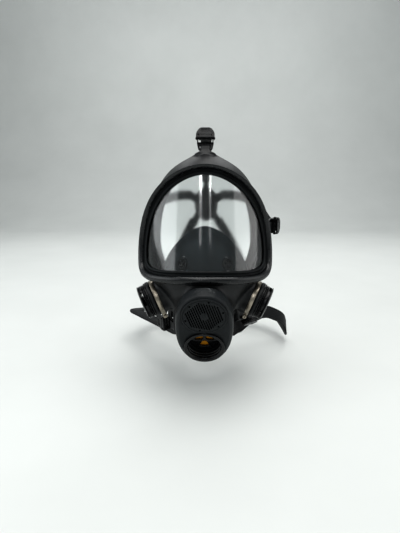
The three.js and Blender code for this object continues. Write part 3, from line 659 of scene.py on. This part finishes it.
def lug_tab(name):
    """What joins a buckle's lug to the skirt: a tapered tab, and a web where there is one."""
    place = BUCKLES[name]
    target, half = PATCHES[name]
    wall = (COARSE_SKIRT + COARSE_SKIRT_NORMALS * SHELL["thick"] / 2)[:, 2:].reshape(-1, 3)
    centre = wall[np.argmin(np.linalg.norm(wall - np.array(target), axis=1))]
    ends = (LUG["start"] - 0.5, LUG["start"] + 2)
    near = [place((x, y, z)) for x in (-LUG["half"], LUG["half"]) for y in ends
            for z in (LUG["low"], LUG["high"])]
    x_axis, z_axis = place.columns[:, 0], place.columns[:, 2]
    far = [centre + x_axis * u + z_axis * v for u in (-half, half) for v in (-1.5, 1.5)]
    web = [place((x, y, z)) for x, y in WEBS.get(name, ()) for z in (-WEB_HALF, WEB_HALF)]
    return [hull(near + far)] + ([hull(web + far)] if web else [])


def facepiece_shell():
    field = Field()
    skirt = field.of(skin(SKIRT, 0, SHELL["thick"]))
    inside_grid = SKIRT + grid_normals(SKIRT) * SHELL["thick"] * 0.6
    inside = field.of(loft(np.swapaxes(inside_grid, 0, 1)))
    collar = loft([neck_egg(COLLAR["thick"], y) for y in (COLLAR["start"], COLLAR["end"])])
    shell = blended(skirt, without(field.of(collar, UNIT_AT), inside), FILLET["collar"])
    for place in PORTS.values():
        whole = shell
        socket = without(field.of(socket_outer(), place), inside)
        shell = blended(shell, socket, FILLET["socket"])
        for room in CLAMP_ROOM:
            shell = without(shell, field.of(room, place))
        shell = np.minimum(shell, whole)
    lug = box(-LUG["half"], LUG["half"], LUG["start"], SLOT["end"] - 0.4, LUG["low"], LUG["high"])
    eye = box(-20, 20, LUG["clear"], SLOT["start"] + 0.3, -1.4, 1.4)
    for name, place in BUCKLES.items():
        for tab in lug_tab(name):
            shell = blended(shell, without(field.of(tab), inside), FILLET["tab"])
        shell = blended(shell, field.of(lug, place), FILLET["lug"])
        shell = without(shell, field.of(eye, place))
    unit_bore = loft([neck_egg(GAP, y) for y in (COLLAR["start"] - 2, COLLAR["end"] + 2)])
    shell = without(shell, field.of(unit_bore, UNIT_AT))
    for place in PORTS.values():
        shell = without(shell, field.of(disc(17.6, -30, 20), place))
    # The blend may not reach the rim, which lies on the skirt's flange.
    clear = field.of(visor_loop(rim_profile))
    return field.mesh(np.maximum(shell, RIM["clear"] / VOXEL - clear))


piece("shell", facepiece_shell(), RUBBER, "facepiece_shell", sharp=60)


# ---- speech and inlet unit ----
def in_unit(height):
    """The place of a body that stands on local z: along the unit's y, at that height up its face."""
    return lambda p: UNIT_AT(np.c_[p[:, 0], p[:, 2], height - p[:, 1]])


def egg_loft(keys, radii):
    """A body through egg sections (half, top, bottom, y), rounded where its profile turns."""
    return shifted(loft([egg(*key) for key in rounded(keys, radii, 4, closed=False)]), UNIT_AT)


NECK_SIZE = (NECK["half"], NECK["top"], NECK["bottom"])
HOUSING = [
    (23, 46, -41, 0.5), (27.6, 50.9, -45.6, 0), (31.4, 53.6, -48.6, 2.2), (33, 53.9, -49, 9),
    (33, 53.6, -48.6, BODY_END), (*NECK_SIZE, BODY_END + 0.4), (*NECK_SIZE, NECK["end"]),
]
BORES = [
    (25.6, -5, 3, SPEECH_Z), (23.3, -5, 9, SPEECH_Z), (19.4, -5, 50, SPEECH_Z), (22.3, -5, 15.3, INLET_Z),
    (16.8, -5, 50, INLET_Z),
]
piece(
    "housing", egg_loft(HOUSING, [0, 1.2, 2.6, 5, 1.6, 0.2, 0]), PLASTIC, "unit_housing",
    cut=[shifted(disc(radius, a, b), in_unit(z)) for radius, a, b, z in BORES], bevel=0.35,
)

GRILLE = dict(turn=17, hexagon=21, core=4.6, pitch=2.5, slot=1.3, hole=1.1, holes=21)


def hexagon_half(offset, size):
    flat = size * math.sqrt(3) / 2
    return 0 if abs(offset) > flat else size - abs(offset) / math.sqrt(3)


def grille_slots():
    slots = []
    columns = int(GRILLE["hexagon"] * 0.84 / GRILLE["pitch"])
    for i in range(-columns, columns + 1):
        at = i * GRILLE["pitch"]
        end, start = hexagon_half(at, GRILLE["hexagon"]), hexagon_half(at, GRILLE["core"])
        half = GRILLE["slot"] / 2
        for a, b in [(-end, -start - 1), (start + 1, end)] if start > 0 else [(-end, end)]:
            slots.append(prism(rounded(rectangle(at - half, at + half, a, b), 0.5, 3), -5, 5))
    for i in range(6):
        phi = rad(60 * i + 30)
        hole = disc(GRILLE["hole"], -5, 5, sides=24)
        slots.append(moved(hole, GRILLE["holes"] * math.sin(phi), GRILLE["holes"] * math.cos(phi)))
    return together(slots)


GRILLE_PROFILE = [
    (0, -0.75), (3.4, -0.75), (4.1, -0.35), (22.6, -0.35), (22.8, 0.0), (23.3, 0.0), (23.5, -0.5),
    (24.9, -0.5), (25.2, -0.2), (25.2, 2.6), (0, 2.6),
]
AT_SPEECH = in_unit(SPEECH_Z)
AT_INLET = in_unit(INLET_Z)
piece(
    "grille", spun(turned(GRILLE_PROFILE, 120), -GRILLE["turn"]), PLASTIC, "speech_grille", AT_SPEECH,
    cut=[spun(grille_slots(), -GRILLE["turn"])], bevel=0.14,
)
ripples = [(r, 6.3 - 0.16 * math.cos(r * 1.9) * min(1, (23 - r) / 3)) for r in np.linspace(0.01, 23, 60)]
film = turned([(0, ripples[0][1])] + ripples[1:] + [(23, 6.58), (0, 6.58)])
piece("diaphragm", film, FILM, "speech_diaphragm", AT_SPEECH)
piece("diaphragm_seal", ring(20.6, 23, 3.3, 5.6, 0.9), SOFT, "diaphragm_ring", AT_SPEECH)


def thread_profile():
    """The bore's thread, with its lip and flange."""
    inner, crest, pitch = 18.5, 20.2, 3.63
    corners = [
        (crest, -1.1), (21.0, -1.4), (22.8, -1.4), (23.4, -0.9), (23.4, -0.35), (21.9, -0.35), (21.9, 10.6),
        (inner, 10.6),
    ]
    for turn in (1, 0):
        y = 1.4 + turn * pitch
        corners += [(inner, y + 2.7), (crest, y + 1.9), (crest, y + 0.9), (inner, y + 0.1)]
    return rounded(corners + [(inner + 0.3, 0.4)], 0.35, 2)


def spider(rim, hub, reach, count, hub_half, reach_half, stem, z0, z1):
    """A wheel with windows, and the barbed stem that holds its valve disc."""
    turns = [(hub, -hub_half), (reach, -reach_half), (reach, 0), (reach, reach_half), (hub, hub_half)]
    wedge = rounded([(r * math.cos(t), r * math.sin(t)) for r, t in turns], [0.6, 1.0, 4, 1.0, 0.6], 3)
    windows = together([spun(prism(wedge, z0 - 1, z1 + 1), 360 * i / count) for i in range(count)])
    boss, top = z1 + 0.5, z1 + stem
    wheel = [(0, z0), (rim, z0), (rim, z1), (hub + 0.4, z1), (hub - 0.2, boss), (0, boss)]
    knob = [(0, z1 - 0.4), (1.6, z1 - 0.4), (1.6, top), (2.8, top + 0.1), (1.4, top + 1.6), (0, top + 1.6)]
    return turned(rounded(wheel, 0.25, 2, False)), windows, turned(rounded(knob, 0.3, 3, False), 48)


piece("inlet_thread", turned(thread_profile(), 128), GLOSS, "inlet_thread_ring", AT_INLET)
piece("inlet_seal", ring(17, 21.9, 10.95, 12.4, 0.6), SOFT, "inlet_gasket", AT_INLET)
wheel, windows, knob = spider(21.6, 2.8, 11.8, 3, 0.7, 0.6, 4.3, 12.75, 14.95)
piece(
    "inlet_spider", spun(wheel, 90), GLOSS, "inlet_valve_seat", AT_INLET, cut=[spun(windows, 90)], add=[knob],
    bevel=0.25,
)


def flap_profile(inner, outer, z0, z1):
    """A rubber valve disc with a bead round its hole and a thinner, lifted lip."""
    return rounded([
        (inner, z0), (outer - 1.5, z0), (outer, z0 + 0.15), (outer, z0 + 0.55), (outer - 2, z1 - 0.25),
        (inner + 1.6, z1 - 0.25), (inner + 1.2, z1), (inner, z1),
    ], 0.2, 2)


inlet_disc = turned(flap_profile(2, 16.2, 15.3, 16.3))
piece("inlet_disc", inlet_disc, AMBER, "inlet_valve_disc", AT_INLET, moves=True)


def unit_band():
    """A flat steel band round the collar, its edges rolled out a little."""
    lie = COLLAR["thick"] + GAP
    section = rounded([
        (lie, 18.6), (lie, 24.6), (lie + 0.7, 24.6), (lie + 1.1, 24.2), (lie + 0.75, 23.4),
        (lie + 0.75, 19.8), (lie + 1.1, 19.0), (lie + 0.7, 18.6),
    ], 0.2, 2)
    return loft([neck_egg(grow, y) for grow, y in section], closed=True)


piece("collar_band", unit_band(), BLACK_STEEL, "unit_clamp_band", UNIT_AT)

# ---- exhalation valves ----
VALVE_BODY = [
    (15, -9), (17.2, -9), (17.2, 8), (21.6, 8), (21.6, 9.6), (19.4, 10), (20.8, 10.6), (20.8, 11.4),
    (19.4, 11.8), (20.8, 12.4), (20.8, 13), (15, 13), (15, 5), (13.4, 5), (13.4, 3), (15, 3),
]
CAP = [
    (0, 16.6), (13.7, 16.6), (13.7, 13.4), (20.4, 13.4), (20.4, 16.3), (19.2, 16.5), (19.2, 16.9),
    (20.9, 17.1), (20.9, 17.7), (19.4, 18.6), (17, 19.2), (12.2, 19.2), (11.6, 18.9), (11.0, 19.2), (0, 19.2),
]
CAP_ROUND = [0, 0.3, 0.2, 0.4, 0.5, 0.2, 0.2, 0.3, 0.4, 1.2, 1.6, 0.3, 0.3, 0.3, 0]
CAP_LUG = [(18, -2.8), (22.4, -2.2), (23.6, -0.7), (23.6, 0.7), (22.4, 2.2), (18, 2.8)]
SPIGOT = [(13.7, 10.7), (14.3, 10.7), (14.8, 11.3), (14.6, 12.2), (14.6, 17), (13.7, 17)]
RIB = dict(count=36, half=0.55, inner=20.1, outer=21.2)
EAR = dict(start=21.4, end=28.5, thick=1.2, gap=2.4, screw=25.6)
BAND = dict(radius=22, thick=0.8, half=2.5)


def cover_shapes(turn):
    cap = turned(rounded(CAP, CAP_ROUND, 3, False), 144)
    window = prism(rounded(rectangle(10, 30, -8.6, 8.6), 1), 13.9, 16.2)
    windows = together([spun(window, 120 * i + turn) for i in range(3)])
    lug = spun(prism(rounded(CAP_LUG, 0.5), 17, 18.2), turn + 60)
    groove = spun(prism(rounded(rectangle(-11, 11, -1.1, 1.1), 1), 18.5, 21), turn)
    return cap, [lug, turned(rounded(SPIGOT, 0.25, 2), 144)], [windows, groove]


def clamp_shapes():
    """The band, its two ears, and what the screw's gap and hole take away."""
    half, inner, outer = BAND["half"], BAND["radius"] - BAND["thick"], BAND["radius"]
    near, far = EAR["gap"], EAR["gap"] + EAR["thick"]
    ear = rounded(rectangle(EAR["start"], EAR["end"], -half, half), [0, 1.5, 1.5, 0])
    ears = [swapped(prism(ear, y0, y1), "xzy") for y0, y1 in ((-far, -near), (near, far))]
    hole = moved(swapped(disc(1.7, -10, 10, sides=32), "xzy"), EAR["screw"])
    return ring(inner, outer, -half, half, sides=144), ears, [box(15, 23, -near, near, -9, 9), hole]


def clamp_screw():
    shank = [(0, -5.4), (1.05, -5.4), (1.35, -5.0)]
    for i in range(13):
        z = -4.8 + i * 0.7
        shank += [(1.35, z), (1.12, z + 0.35)]
    head = [(1.35, 4.2), (2.4, 4.2), (2.6, 4.5), (2.6, 5.7), (2.2, 6.4), (0, 6.4)]
    return turned(shank + head, 40)


def on_screw(shape):
    """Lays a body that stands on local z along the clamp screw's line, its top end towards -y."""
    points, faces = moved(swapped(shape, "xzy"), EAR["screw"])
    return points * np.array([1, -1, 1]), faces


rib = box(RIB["inner"] - 1, RIB["outer"], -RIB["half"], RIB["half"], 8.3, 9.3)
ribs = together([spun(rib, 360 * i / RIB["count"]) for i in range(RIB["count"])])
wheel, windows, knob = spider(14.6, 4, 12.2, 6, 0.2, 0.39, 3.6, 5.4, 7)
exhale_disc = turned(flap_profile(2, 13, 7.4, 8.3))
band, ears, gaps = clamp_shapes()
screw_slot = on_screw(box(-3, 3, -0.4, 0.4, 5.5, 8))
for side, at in PORTS.items():
    cap, added, taken = cover_shapes(60 if side == "right" else 0)
    body = turned(rounded(VALVE_BODY, 0.3, 2), 144)
    piece(f"exhale_body_{side}", body, GLOSS, at=at, add=[ribs], bevel=0.12)
    piece(f"exhale_seat_{side}", wheel, PLASTIC, at=at, cut=[windows], add=[knob], bevel=0.2)
    piece(f"exhale_disc_{side}", exhale_disc, SOFT, at=at, moves=True)
    piece(f"exhale_cover_{side}", cap, GLOSS, at=at, moves=True, cut=taken, add=added, bevel=0.15)
    piece(f"exhale_clamp_{side}", band, STEEL, at=at, add=ears, cut=gaps, bevel=0.12)
    screw = on_screw(clamp_screw())
    piece(f"exhale_clamp_screw_{side}", screw, STEEL, at=at, moves=True, cut=[screw_slot], bevel=0.1)

# ---- buckles: x along the pin, y towards the strap, z away from the head ----
PIN = dict(z=4.5, radius=1.2, half=11.4)
ROLLER = dict(y=6, radius=2.6, half=8)
BASE = dict(end=-12.8, half=7.9, shoulder=9.8)
CHEEK = dict(inner=8.3, outer=9.4)
LEVER = dict(inner=9.7, outer=10.7, end=11.6, low=7, high=8.6)
CHEEK_OUTLINE = [
    (-5, -1), (-3, -2.4), (8, -2.4), (9.6, -1), (9.6, 1.5), (8, 2.8), (3, 4), (1.1, 6.2), (-1.1, 6.2),
    (-5, 1),
]


def along_x(shape, offset=0.0):
    """Stands a body drawn in (y, z) with its depth along local x."""
    return moved(swapped(shape, "zxy"), offset)


def pair_along_x(outline, inner, outer):
    return [along_x(prism(outline, a, b)) for a, b in ((inner, outer), (-outer, -inner))]


def buckle_base():
    half, shoulder, end, outer = BASE["half"], BASE["shoulder"], BASE["end"], CHEEK["outer"]
    front = rounded([(-half, end), (half, end), (shoulder, -4), (outer, -3), (-outer, -3), (-shoulder, -4)],
                    [2.4, 2.4, 1.2, 0.2, 0.2, 1.2], 4)
    outline = rounded(CHEEK_OUTLINE, [0.4, 1, 1.6, 1.2, 1.2, 1.5, 1.5, 0.9, 0.9, 1], 4)
    cheeks = pair_along_x(outline, CHEEK["inner"], outer)
    eye = rounded(rectangle(-SLOT["half"], SLOT["half"], SLOT["start"], SLOT["end"]), 0.8)
    hole = disc(PIN["radius"] + GAP, -20, 20, sides=32)
    holes = [along_x(moved(hole, y, z)) for y, z in ((0, PIN["z"]), (ROLLER["y"], 0))]
    return prism(front, -1, 1), cheeks, [prism(eye, -3, 3)] + holes


def buckle_lever():
    half, end = LEVER["outer"], LEVER["end"]
    side = [(half, -1.5), (half, 3.4), (half - 0.9, 6.6), (half - 2.8, 9.4), (half - 5.4, end)]
    top = rounded(side + [(-u, v) for u, v in side[::-1]], [0.8, 2, 2.4, 2.4, 2.4, 2.4, 2.4, 2.4, 2, 0.8], 3)
    join = LEVER["low"] + 0.2
    flank = rounded([(-1.9, 3.4), (-1, 2.6), (4.4, 3.7), (5.4, join), (-1.9, join)], [0.8, 0.8, 1, 0.3, 0.3])
    arms = pair_along_x(flank, LEVER["inner"], half)
    windows = [box(a, b, 0.8, 3, 0, 20) for a, b in ((7, 8.8), (-8.8, -7))]
    hole = along_x(moved(disc(PIN["radius"] + GAP, -20, 20, sides=32), 0, PIN["z"]))
    grip = [box(-5, 5, y, y + 0.7, LEVER["high"] - 0.35, 12) for y in (6.4, 8.0, 9.6)]
    return prism(top, LEVER["low"], LEVER["high"]), arms, windows + [hole] + grip


def pin():
    radius, half = PIN["radius"], PIN["half"]
    corners = [(0, -half), (radius, -half), (radius, half), (0, half)]
    return along_x(turned(rounded(corners, [0, 0.5, 0.5, 0], 4, False), 40))


def roller():
    """The roller with its two thin axle ends, which reach through the cheeks."""
    half, end = ROLLER["half"], CHEEK["outer"]
    upper = [(ROLLER["radius"], half), (1.2, half), (1.2, end), (0, end)]
    corners = [(r, -z) for r, z in upper[::-1]] + upper
    return along_x(turned(rounded(corners, [0, 0.3, 0.1, 0.5, 0.5, 0.1, 0.3, 0], 3, False), 48))


plate, cheeks, base_holes = buckle_base()
thumb, arms, arm_holes = buckle_lever()
for name, at in BUCKLES.items():
    piece(f"buckle_base_{name}", plate, BLACK_STEEL, at=at, add=cheeks, cut=base_holes, bevel=0.28)
    piece(f"buckle_lever_{name}", thumb, BLACK_STEEL, at=at, moves=True, add=arms, cut=arm_holes, bevel=0.28)
    piece(f"buckle_pin_{name}", moved(pin(), 0, 0, PIN["z"]), BLACK_STEEL, at=at)
    piece(f"buckle_roller_{name}", moved(roller(), 0, ROLLER["y"]), STEEL, at=at, moves=True)

# ---- face seal and inner mask ----
SEAL = dict(thick=2, inset=1.4, over=1.8, reach=7, back=9)


def face_seal():
    """A lip that turns in from the facepiece's edge and thins towards the face."""
    n = grid_normals(SKIRT)[:, -1]
    last, before = SKIRT[:, -1], SKIRT[:, -2]
    forward = unit_vector(last - before)
    sideways = np.abs(last[:, :1]) / SHELL["half"]
    edge = last + n * SEAL["inset"] + forward * (2 * GAP + 0.3)
    inner = edge + n * SHELL["thick"]
    corner = edge + n * (SHELL["thick"] + SEAL["over"]) + forward * 0.6
    lip = corner + n * SEAL["reach"] - forward * SEAL["back"] * sideways
    lines = np.stack([edge, inner, corner, lip], 1)
    fine = np.array([rounded(line, [0, 0.6, 2.4, 0], 6, closed=False) for line in lines])
    normals = grid_normals(fine)
    shares = np.linspace(0, 1, fine.shape[1])[None, :, None]
    thick = SEAL["thick"] * (1 - 0.35 * shares)
    front, back = fine, fine - normals * thick
    tip = (front[:, -1:] + back[:, -1:]) / 2 + (front[:, -1:] - front[:, -2:-1]) * 0.25
    return loft(np.concatenate([front, tip, back[:, ::-1]], 1), closed=True)


piece("face_seal", face_seal(), SOFT, sharp=50)

INNER_CUP = dict(half=53, top=57, bottom=50, mid=-46, thick=2)


def inner_line(phi, steps):
    x, z = math.cos(phi), math.sin(phi)
    up = max(0.0, z)
    back = np.array([
        INNER_CUP["half"] * power(x, 1.15) * (1 - 0.2 * up),
        -38 + 16 * x * x - 5 * up,
        INNER_CUP["mid"] + (INNER_CUP["top"] if z > 0 else INNER_CUP["bottom"]) * power(z, 1.1),
    ])
    mid_z = INNER_CUP["mid"]
    middle = np.array([back[0] * 0.86, back[1] - 15 + 4 * up, mid_z + (back[2] - mid_z) * 0.86 - 4])
    front = UNIT_AT(np.array([21 * x, 44.5, 1 + 23 * z]))
    return spline([back, middle, middle * 0.45 + front * 0.55 + np.array([0, -3, 2]), front], steps)


def inner_grid(columns, steps):
    return np.array([inner_line(2 * math.pi * i / columns, steps) for i in range(columns)])


COARSE_CUP = inner_grid(28, 4)
COARSE_NORMALS = grid_normals(COARSE_CUP)


def facing(origin, direction):
    """A place whose z is the direction, turned there from +z the shortest way."""
    turn = Vector((0, 0, 1)).rotation_difference(Vector(direction)).to_matrix()
    return Place(origin, [turn.col[0], turn.col[1], turn.col[2]])


def inner_valve(side):
    i = 3 if side > 0 else 11
    normal = -COARSE_NORMALS[i, 2]
    return facing(COARSE_CUP[i, 2], normal if normal[0] * side > 0 else -normal)


INNER_VALVES = {"right": inner_valve(1), "left": inner_valve(-1)}


def inner_mask():
    fine = inner_grid(168, 26)
    n = grid_normals(fine)
    half = INNER_CUP["thick"] / 2
    swell = half + 0.5 * np.exp(-((np.arange(fine.shape[1]) / 1.2) ** 2))[None, :, None]
    brim = fine[:, :1] + (fine[:, :1] - fine[:, 1:2]) * 0.3
    return loft(np.concatenate([brim, fine + n * swell, (fine - n * swell)[:, ::-1]], 1), closed=True)


openings = [shifted(disc(8.6, -5, 5), place) for place in INNER_VALVES.values()]
piece("inner_mask", inner_mask(), INNER, cut=openings, sharp=50)
bars = [box(-6, 6, -1, 1, -1, 1.2), box(-1, 1, -6, 6, -0.8, 1.0), disc(1.1, -3.8, 0.6, 0.3, sides=24)]
inner_flap = turned(flap_profile(1.5, 7.6, -2.6, -1.95), 64)
for side, at in INNER_VALVES.items():
    piece(f"inner_seat_{side}", ring(5.2, 8.2, -1.6, 1.8, 0.5), PLASTIC, at=at, add=bars, bevel=0.15)
    piece(f"inner_flap_{side}", inner_flap, SOFT, at=at, moves=True)

# ---- harness ----
PAD = dict(scale=1.035, thick=2.4, reach=0.24)
PAD_AT = unit_vector((0, 1, 0.26))
ARMS = dict(
    top=(90, 0.42), temple_right=(22, 0.46), temple_left=(158, 0.46), lower_right=(-42, 0.46),
    lower_left=(-138, 0.46),
)
STRAP = dict(wide=15.4, thick=2.0)
WRAP = ROLLER["radius"] + GAP + STRAP["thick"] / 2
TAILS = dict(top=7, temple_right=6, temple_left=6, lower_right=14, lower_left=12)


def on_head(direction, scale):
    return unit_vector(direction) * HEAD_SIZE * scale + HEAD_AT


def pad_direction(turn, reach):
    up = np.cross((1, 0, 0), PAD_AT)
    side = np.array([1, 0, 0]) * math.cos(turn) + up * math.sin(turn)
    return PAD_AT * math.cos(reach) + side * math.sin(reach)


def harness_pad():
    """A thin pad on the back of the head, with an arm towards each strap."""
    def reach_at(turn):
        most = PAD["reach"]
        for arm, reach in ARMS.values():
            away = math.atan2(math.sin(turn - rad(arm)), math.cos(turn - rad(arm)))
            most = max(most, reach * math.exp(-((away / 0.3) ** 2)))
        return most

    turns = np.arange(240) * 2 * math.pi / 240
    reaches = np.array([reach_at(t) for t in turns])
    for _ in range(6):
        reaches = (np.roll(reaches, 1) + 2 * reaches + np.roll(reaches, -1)) / 4
    outer = PAD["scale"] + PAD["thick"] / HEAD_SIZE[1]
    keys = [(PAD["scale"], s) for s in (0.04, 0.3, 0.6, 0.85, 0.975)]
    keys += [(PAD["scale"] + 0.004, 1.0), (outer - 0.004, 1.0)]
    keys += [(outer, s) for s in (0.975, 0.93)] + [(outer - 0.006, s) for s in (0.88, 0.6, 0.3, 0.04)]
    return loft([[on_head(pad_direction(t, share * r), scale) for t, r in zip(turns, reaches)]
                 for scale, share in keys])


def taut_over_head(start, end, scale, steps):
    """A line drawn tight over the head, without its first point."""
    line = [start + (end - start) * i / steps for i in range(steps + 1)]
    for _ in range(60):
        for i in range(1, steps):
            line[i] = (line[i - 1] + line[i + 1]) / 2
            out = (line[i] - HEAD_AT) / HEAD_SIZE
            if np.linalg.norm(out) < scale:
                line[i] = on_head(out, scale)
    return line[1:]


def strap_stops(name):
    """Centre points of a strap and the normals of its face, from its tail round the roller to the pad."""
    place = BUCKLES[name]

    def stop(y, z, ny, nz):
        return np.r_[place((0, ROLLER["y"] + y, z)), place((0, ny, nz)) - place.origin]

    stops = [stop(TAILS[name], WRAP, 0, 1), stop(TAILS[name] * 0.5, WRAP, 0, 1)]
    for i in range(9):
        turn = math.pi / 2 - math.pi * i / 8
        stops.append(stop(-WRAP * math.cos(turn), WRAP * math.sin(turn), -math.cos(turn), math.sin(turn)))
    leave = stop(9, -WRAP - 0.6, 0, -1)
    stops.append(leave)
    arm, reach = ARMS[name]
    scale = PAD["scale"] + (PAD["thick"] + GAP + 0.3 + STRAP["thick"] / 2) / HEAD_SIZE[0]
    end = on_head(pad_direction(rad(arm), reach * 0.72), scale)
    for at in taut_over_head(leave[:3], end, scale, 9):
        normal = unit_vector((at - HEAD_AT) / HEAD_SIZE / HEAD_SIZE)
        stops.append(np.r_[at, -normal])
    return np.array(stops)


def strap_section(wide, thick):
    """A moulded strap's section: rounded edges and two shallow grooves in each face."""
    w, t = wide / 2, thick / 2
    face = [(-w, t), (-w + 2.2, t), (-w + 2.6, t - 0.25), (-w + 3.3, t - 0.25), (-w + 3.7, t)]
    face += [(w - 3.7, t), (w - 3.3, t - 0.25), (w - 2.6, t - 0.25), (w - 2.2, t), (w, t)]
    corners = face + [(u, -v) for u, v in face[::-1]]
    return rounded(corners, ([0.7] + [0.2] * 8 + [0.7]) * 2, 3)


def ribbon(stops, section):
    at, normal = stops[:, :3], stops[:, 3:]
    along = np.gradient(at, axis=0)
    across = unit_vector(np.cross(along, normal))
    normal = unit_vector(np.cross(across, along))
    shrink = np.ones(len(at))
    shrink[0] = shrink[-1] = 0.92
    across, normal = across * shrink[:, None], normal * shrink[:, None]
    return loft([p + a[None] * section[:, :1] + n[None] * section[:, 1:]
                 for p, a, n in zip(at, across, normal)])


piece("harness_pad", harness_pad(), STRAP_RUBBER, sharp=50)
for name in BUCKLES:
    shape = ribbon(spline(strap_stops(name), 150), strap_section(STRAP["wide"], STRAP["thick"]))
    piece(f"strap_{name}", shape, STRAP_RUBBER, sharp=50)

# ---- neck strap ----
NECK_ROUTE = [
    (-30, -14, -136), (-50, 14, -138), (-74, 42, -138), (-98, 70, -138), (-114, 96, -140), (-98, 130, -149),
    (-44, 152, -150), (24, 156, -150), (78, 148, -152), (108, 130, -156), (123, 108, -164), (127.5, 90, -168),
    (126, 76, -159), (120.5, 66, -144.5), (113, 57, -136), (102, 47, -128), (89, 37, -121), (76, 27, -119.5),
    (62, 17, -122), (50, 5, -127), (38, -8, -132), (28, -24, -133),
]
# Which way the strap's face looks, by the share of the route: it stands on edge where it turns back.
NECK_FACES = [
    (0.07, (0, 0, -1)), (0.38, (0, 0, -1)), (0.5, (-1, 0.1, -0.2)), (0.62, (-0.95, 0.3, -0.1)),
    (0.74, (-0.5, 0.75, -0.43)), (0.86, (-0.5, 0.75, -0.43)), (0.93, (0, 0, -1)),
]
STUD = dict(column=28, radius=4.4, start=1.3, end=4.4)
NECK_STRAP = dict(wide=18, thick=2.4)


def chin_place(side, away):
    i = STUD["column"] if side < 0 else 60 - STUD["column"]
    outward = -COARSE_SKIRT_NORMALS[i, 6]
    return COARSE_SKIRT[i, 6] + outward * away, outward


def smoothstep(x, low, high):
    t = np.clip((x - low) / (high - low), 0, 1)
    return t * t * (3 - 2 * t)


def neck_strap():
    lie = STUD["end"] + GAP + NECK_STRAP["thick"] / 2
    (left, left_out), (right, right_out) = chin_place(-1, lie), chin_place(1, lie)
    faces = [(0, left_out), *NECK_FACES, (1, right_out)]
    steps = 256
    stops = []
    for i, at in enumerate(spline([left, *NECK_ROUTE, right], steps)):
        share = i / steps
        after = max(1, next(k for k, (until, _) in enumerate(faces) if until >= share))
        (start, low), (end, high) = faces[after - 1], faces[after]
        mix = smoothstep(share, start, end)
        stops.append(np.r_[at, np.array(low) * (1 - mix) + np.array(high) * mix])
    return ribbon(np.array(stops), strap_section(NECK_STRAP["wide"], NECK_STRAP["thick"]))


piece("neck_strap", neck_strap(), STRAP_RUBBER, sharp=50)
stud = rounded([
    (0, 1.3), (3.0, 1.3), (3.0, 2.2), (STUD["radius"], 2.6), (STUD["radius"], 3.6), (3.4, 4.4), (1.6, 4.4),
    (1.2, 3.9), (0, 3.9),
], 0.3, 2, False)
for side, sign in (("left", -1), ("right", 1)):
    at = facing(*chin_place(sign, 0))
    piece(f"neck_strap_stud_{side}", turned(stud, 48), BLACK_STEEL, at=at)

# ---- camera, floor and light ----
scene = bpy.context.scene
camera = bpy.data.objects.new("camera", bpy.data.cameras.new("camera"))
scene.collection.objects.link(camera)
camera.data.lens = 26.0
camera.data.clip_start = 0.01
camera.location = (0.0044, -0.5, 0.06)
camera.rotation_euler = (rad(90 - 12), 0, rad(1.3))
scene.camera = camera
scene.view_settings.view_transform = "Standard"
scene.view_settings.look = "High Contrast"


def sweep():
    """A floor that curves up into a wall far behind the mask."""
    turns = np.linspace(0, math.pi / 2, 16)
    line = [(-1.6, 0.0)] + [(1.6 + 0.9 * math.sin(t), 0.9 - 0.9 * math.cos(t)) for t in turns] + [(2.5, 3.2)]
    points = [(x, y, FLOOR_Z + z) for y, z in line for x in (-3.5, 3.5)]
    faces = [(2 * i, 2 * i + 1, 2 * i + 3, 2 * i + 2) for i in range(len(line) - 1)]
    mesh = bpy.data.meshes.new("floor")
    mesh.from_pydata(points, [], faces)
    mesh.shade_smooth()
    obj = bpy.data.objects.new("floor", mesh)
    scene.collection.objects.link(obj)
    return obj


FLOOR_Z = -0.186
floor = sweep()
ground = Finish("pale_floor")
ground.ramp("Base Color", ground.noise(3), (0.3, (0.6, 0.62, 0.61)), (0.7, (0.64, 0.66, 0.65)))
ground.set(Roughness=0.6)
floor.data.materials.append(ground.material)


MASK, CHEEKS, VISOR_TOP, WHITE = (0, 0, 0), (0, 0, -0.02), (0, -0.05, 0.04), (1, 1, 1)
# Each light: its place, what it faces, its two sides, its watts and its colour.
LIGHTS = {
    "ceiling": ((0.1, -0.2, 1.5), MASK, (1.8, 1.6), 20, (1.0, 0.99, 0.97)),
    "window_left": ((-1.3, -0.3, 0.6), CHEEKS, (1.4, 1.2), 7, (0.97, 0.99, 1.0)),
    "fill_right": ((1.4, -0.3, 0.5), CHEEKS, (1.4, 1.2), 5, (1.0, 0.99, 0.98)),
    "strip_left": ((-0.17, -1.2, 0.64), VISOR_TOP, (0.06, 0.14), 0.5, WHITE),
    "strip_right": ((0.185, -1.2, 0.64), VISOR_TOP, (0.035, 0.14), 0.28, WHITE),
    "fade_left": ((-0.17, -1.2, 0.5), VISOR_TOP, (0.09, 0.34), 0.16, WHITE),
    "fade_right": ((0.185, -1.2, 0.5), VISOR_TOP, (0.06, 0.34), 0.1, WHITE),
    "back": ((0, 1.2, 1.2), MASK, (1.6, 0.8), 5, WHITE),
    "wall": ((0, 0.9, 1.5), (0, 2.5, 0.9), (2.4, 0.5), 9, WHITE),
}
for name, (at, target, sides, watts, color) in LIGHTS.items():
    light = bpy.data.lights.new(name, "AREA")
    light.shape = "RECTANGLE"
    light.size, light.size_y = sides
    light.energy = watts
    light.color = color
    obj = bpy.data.objects.new(name, light)
    scene.collection.objects.link(obj)
    obj.location = at
    obj.rotation_euler = (Vector(target) - Vector(at)).to_track_quat("-Z", "Y").to_euler()

world = bpy.data.worlds.new("studio")
scene.world = world
world.use_nodes = True
background = world.node_tree.nodes["Background"]
background.inputs["Color"].default_value = (0.80, 0.83, 0.84, 1)
background.inputs["Strength"].default_value = 0.3
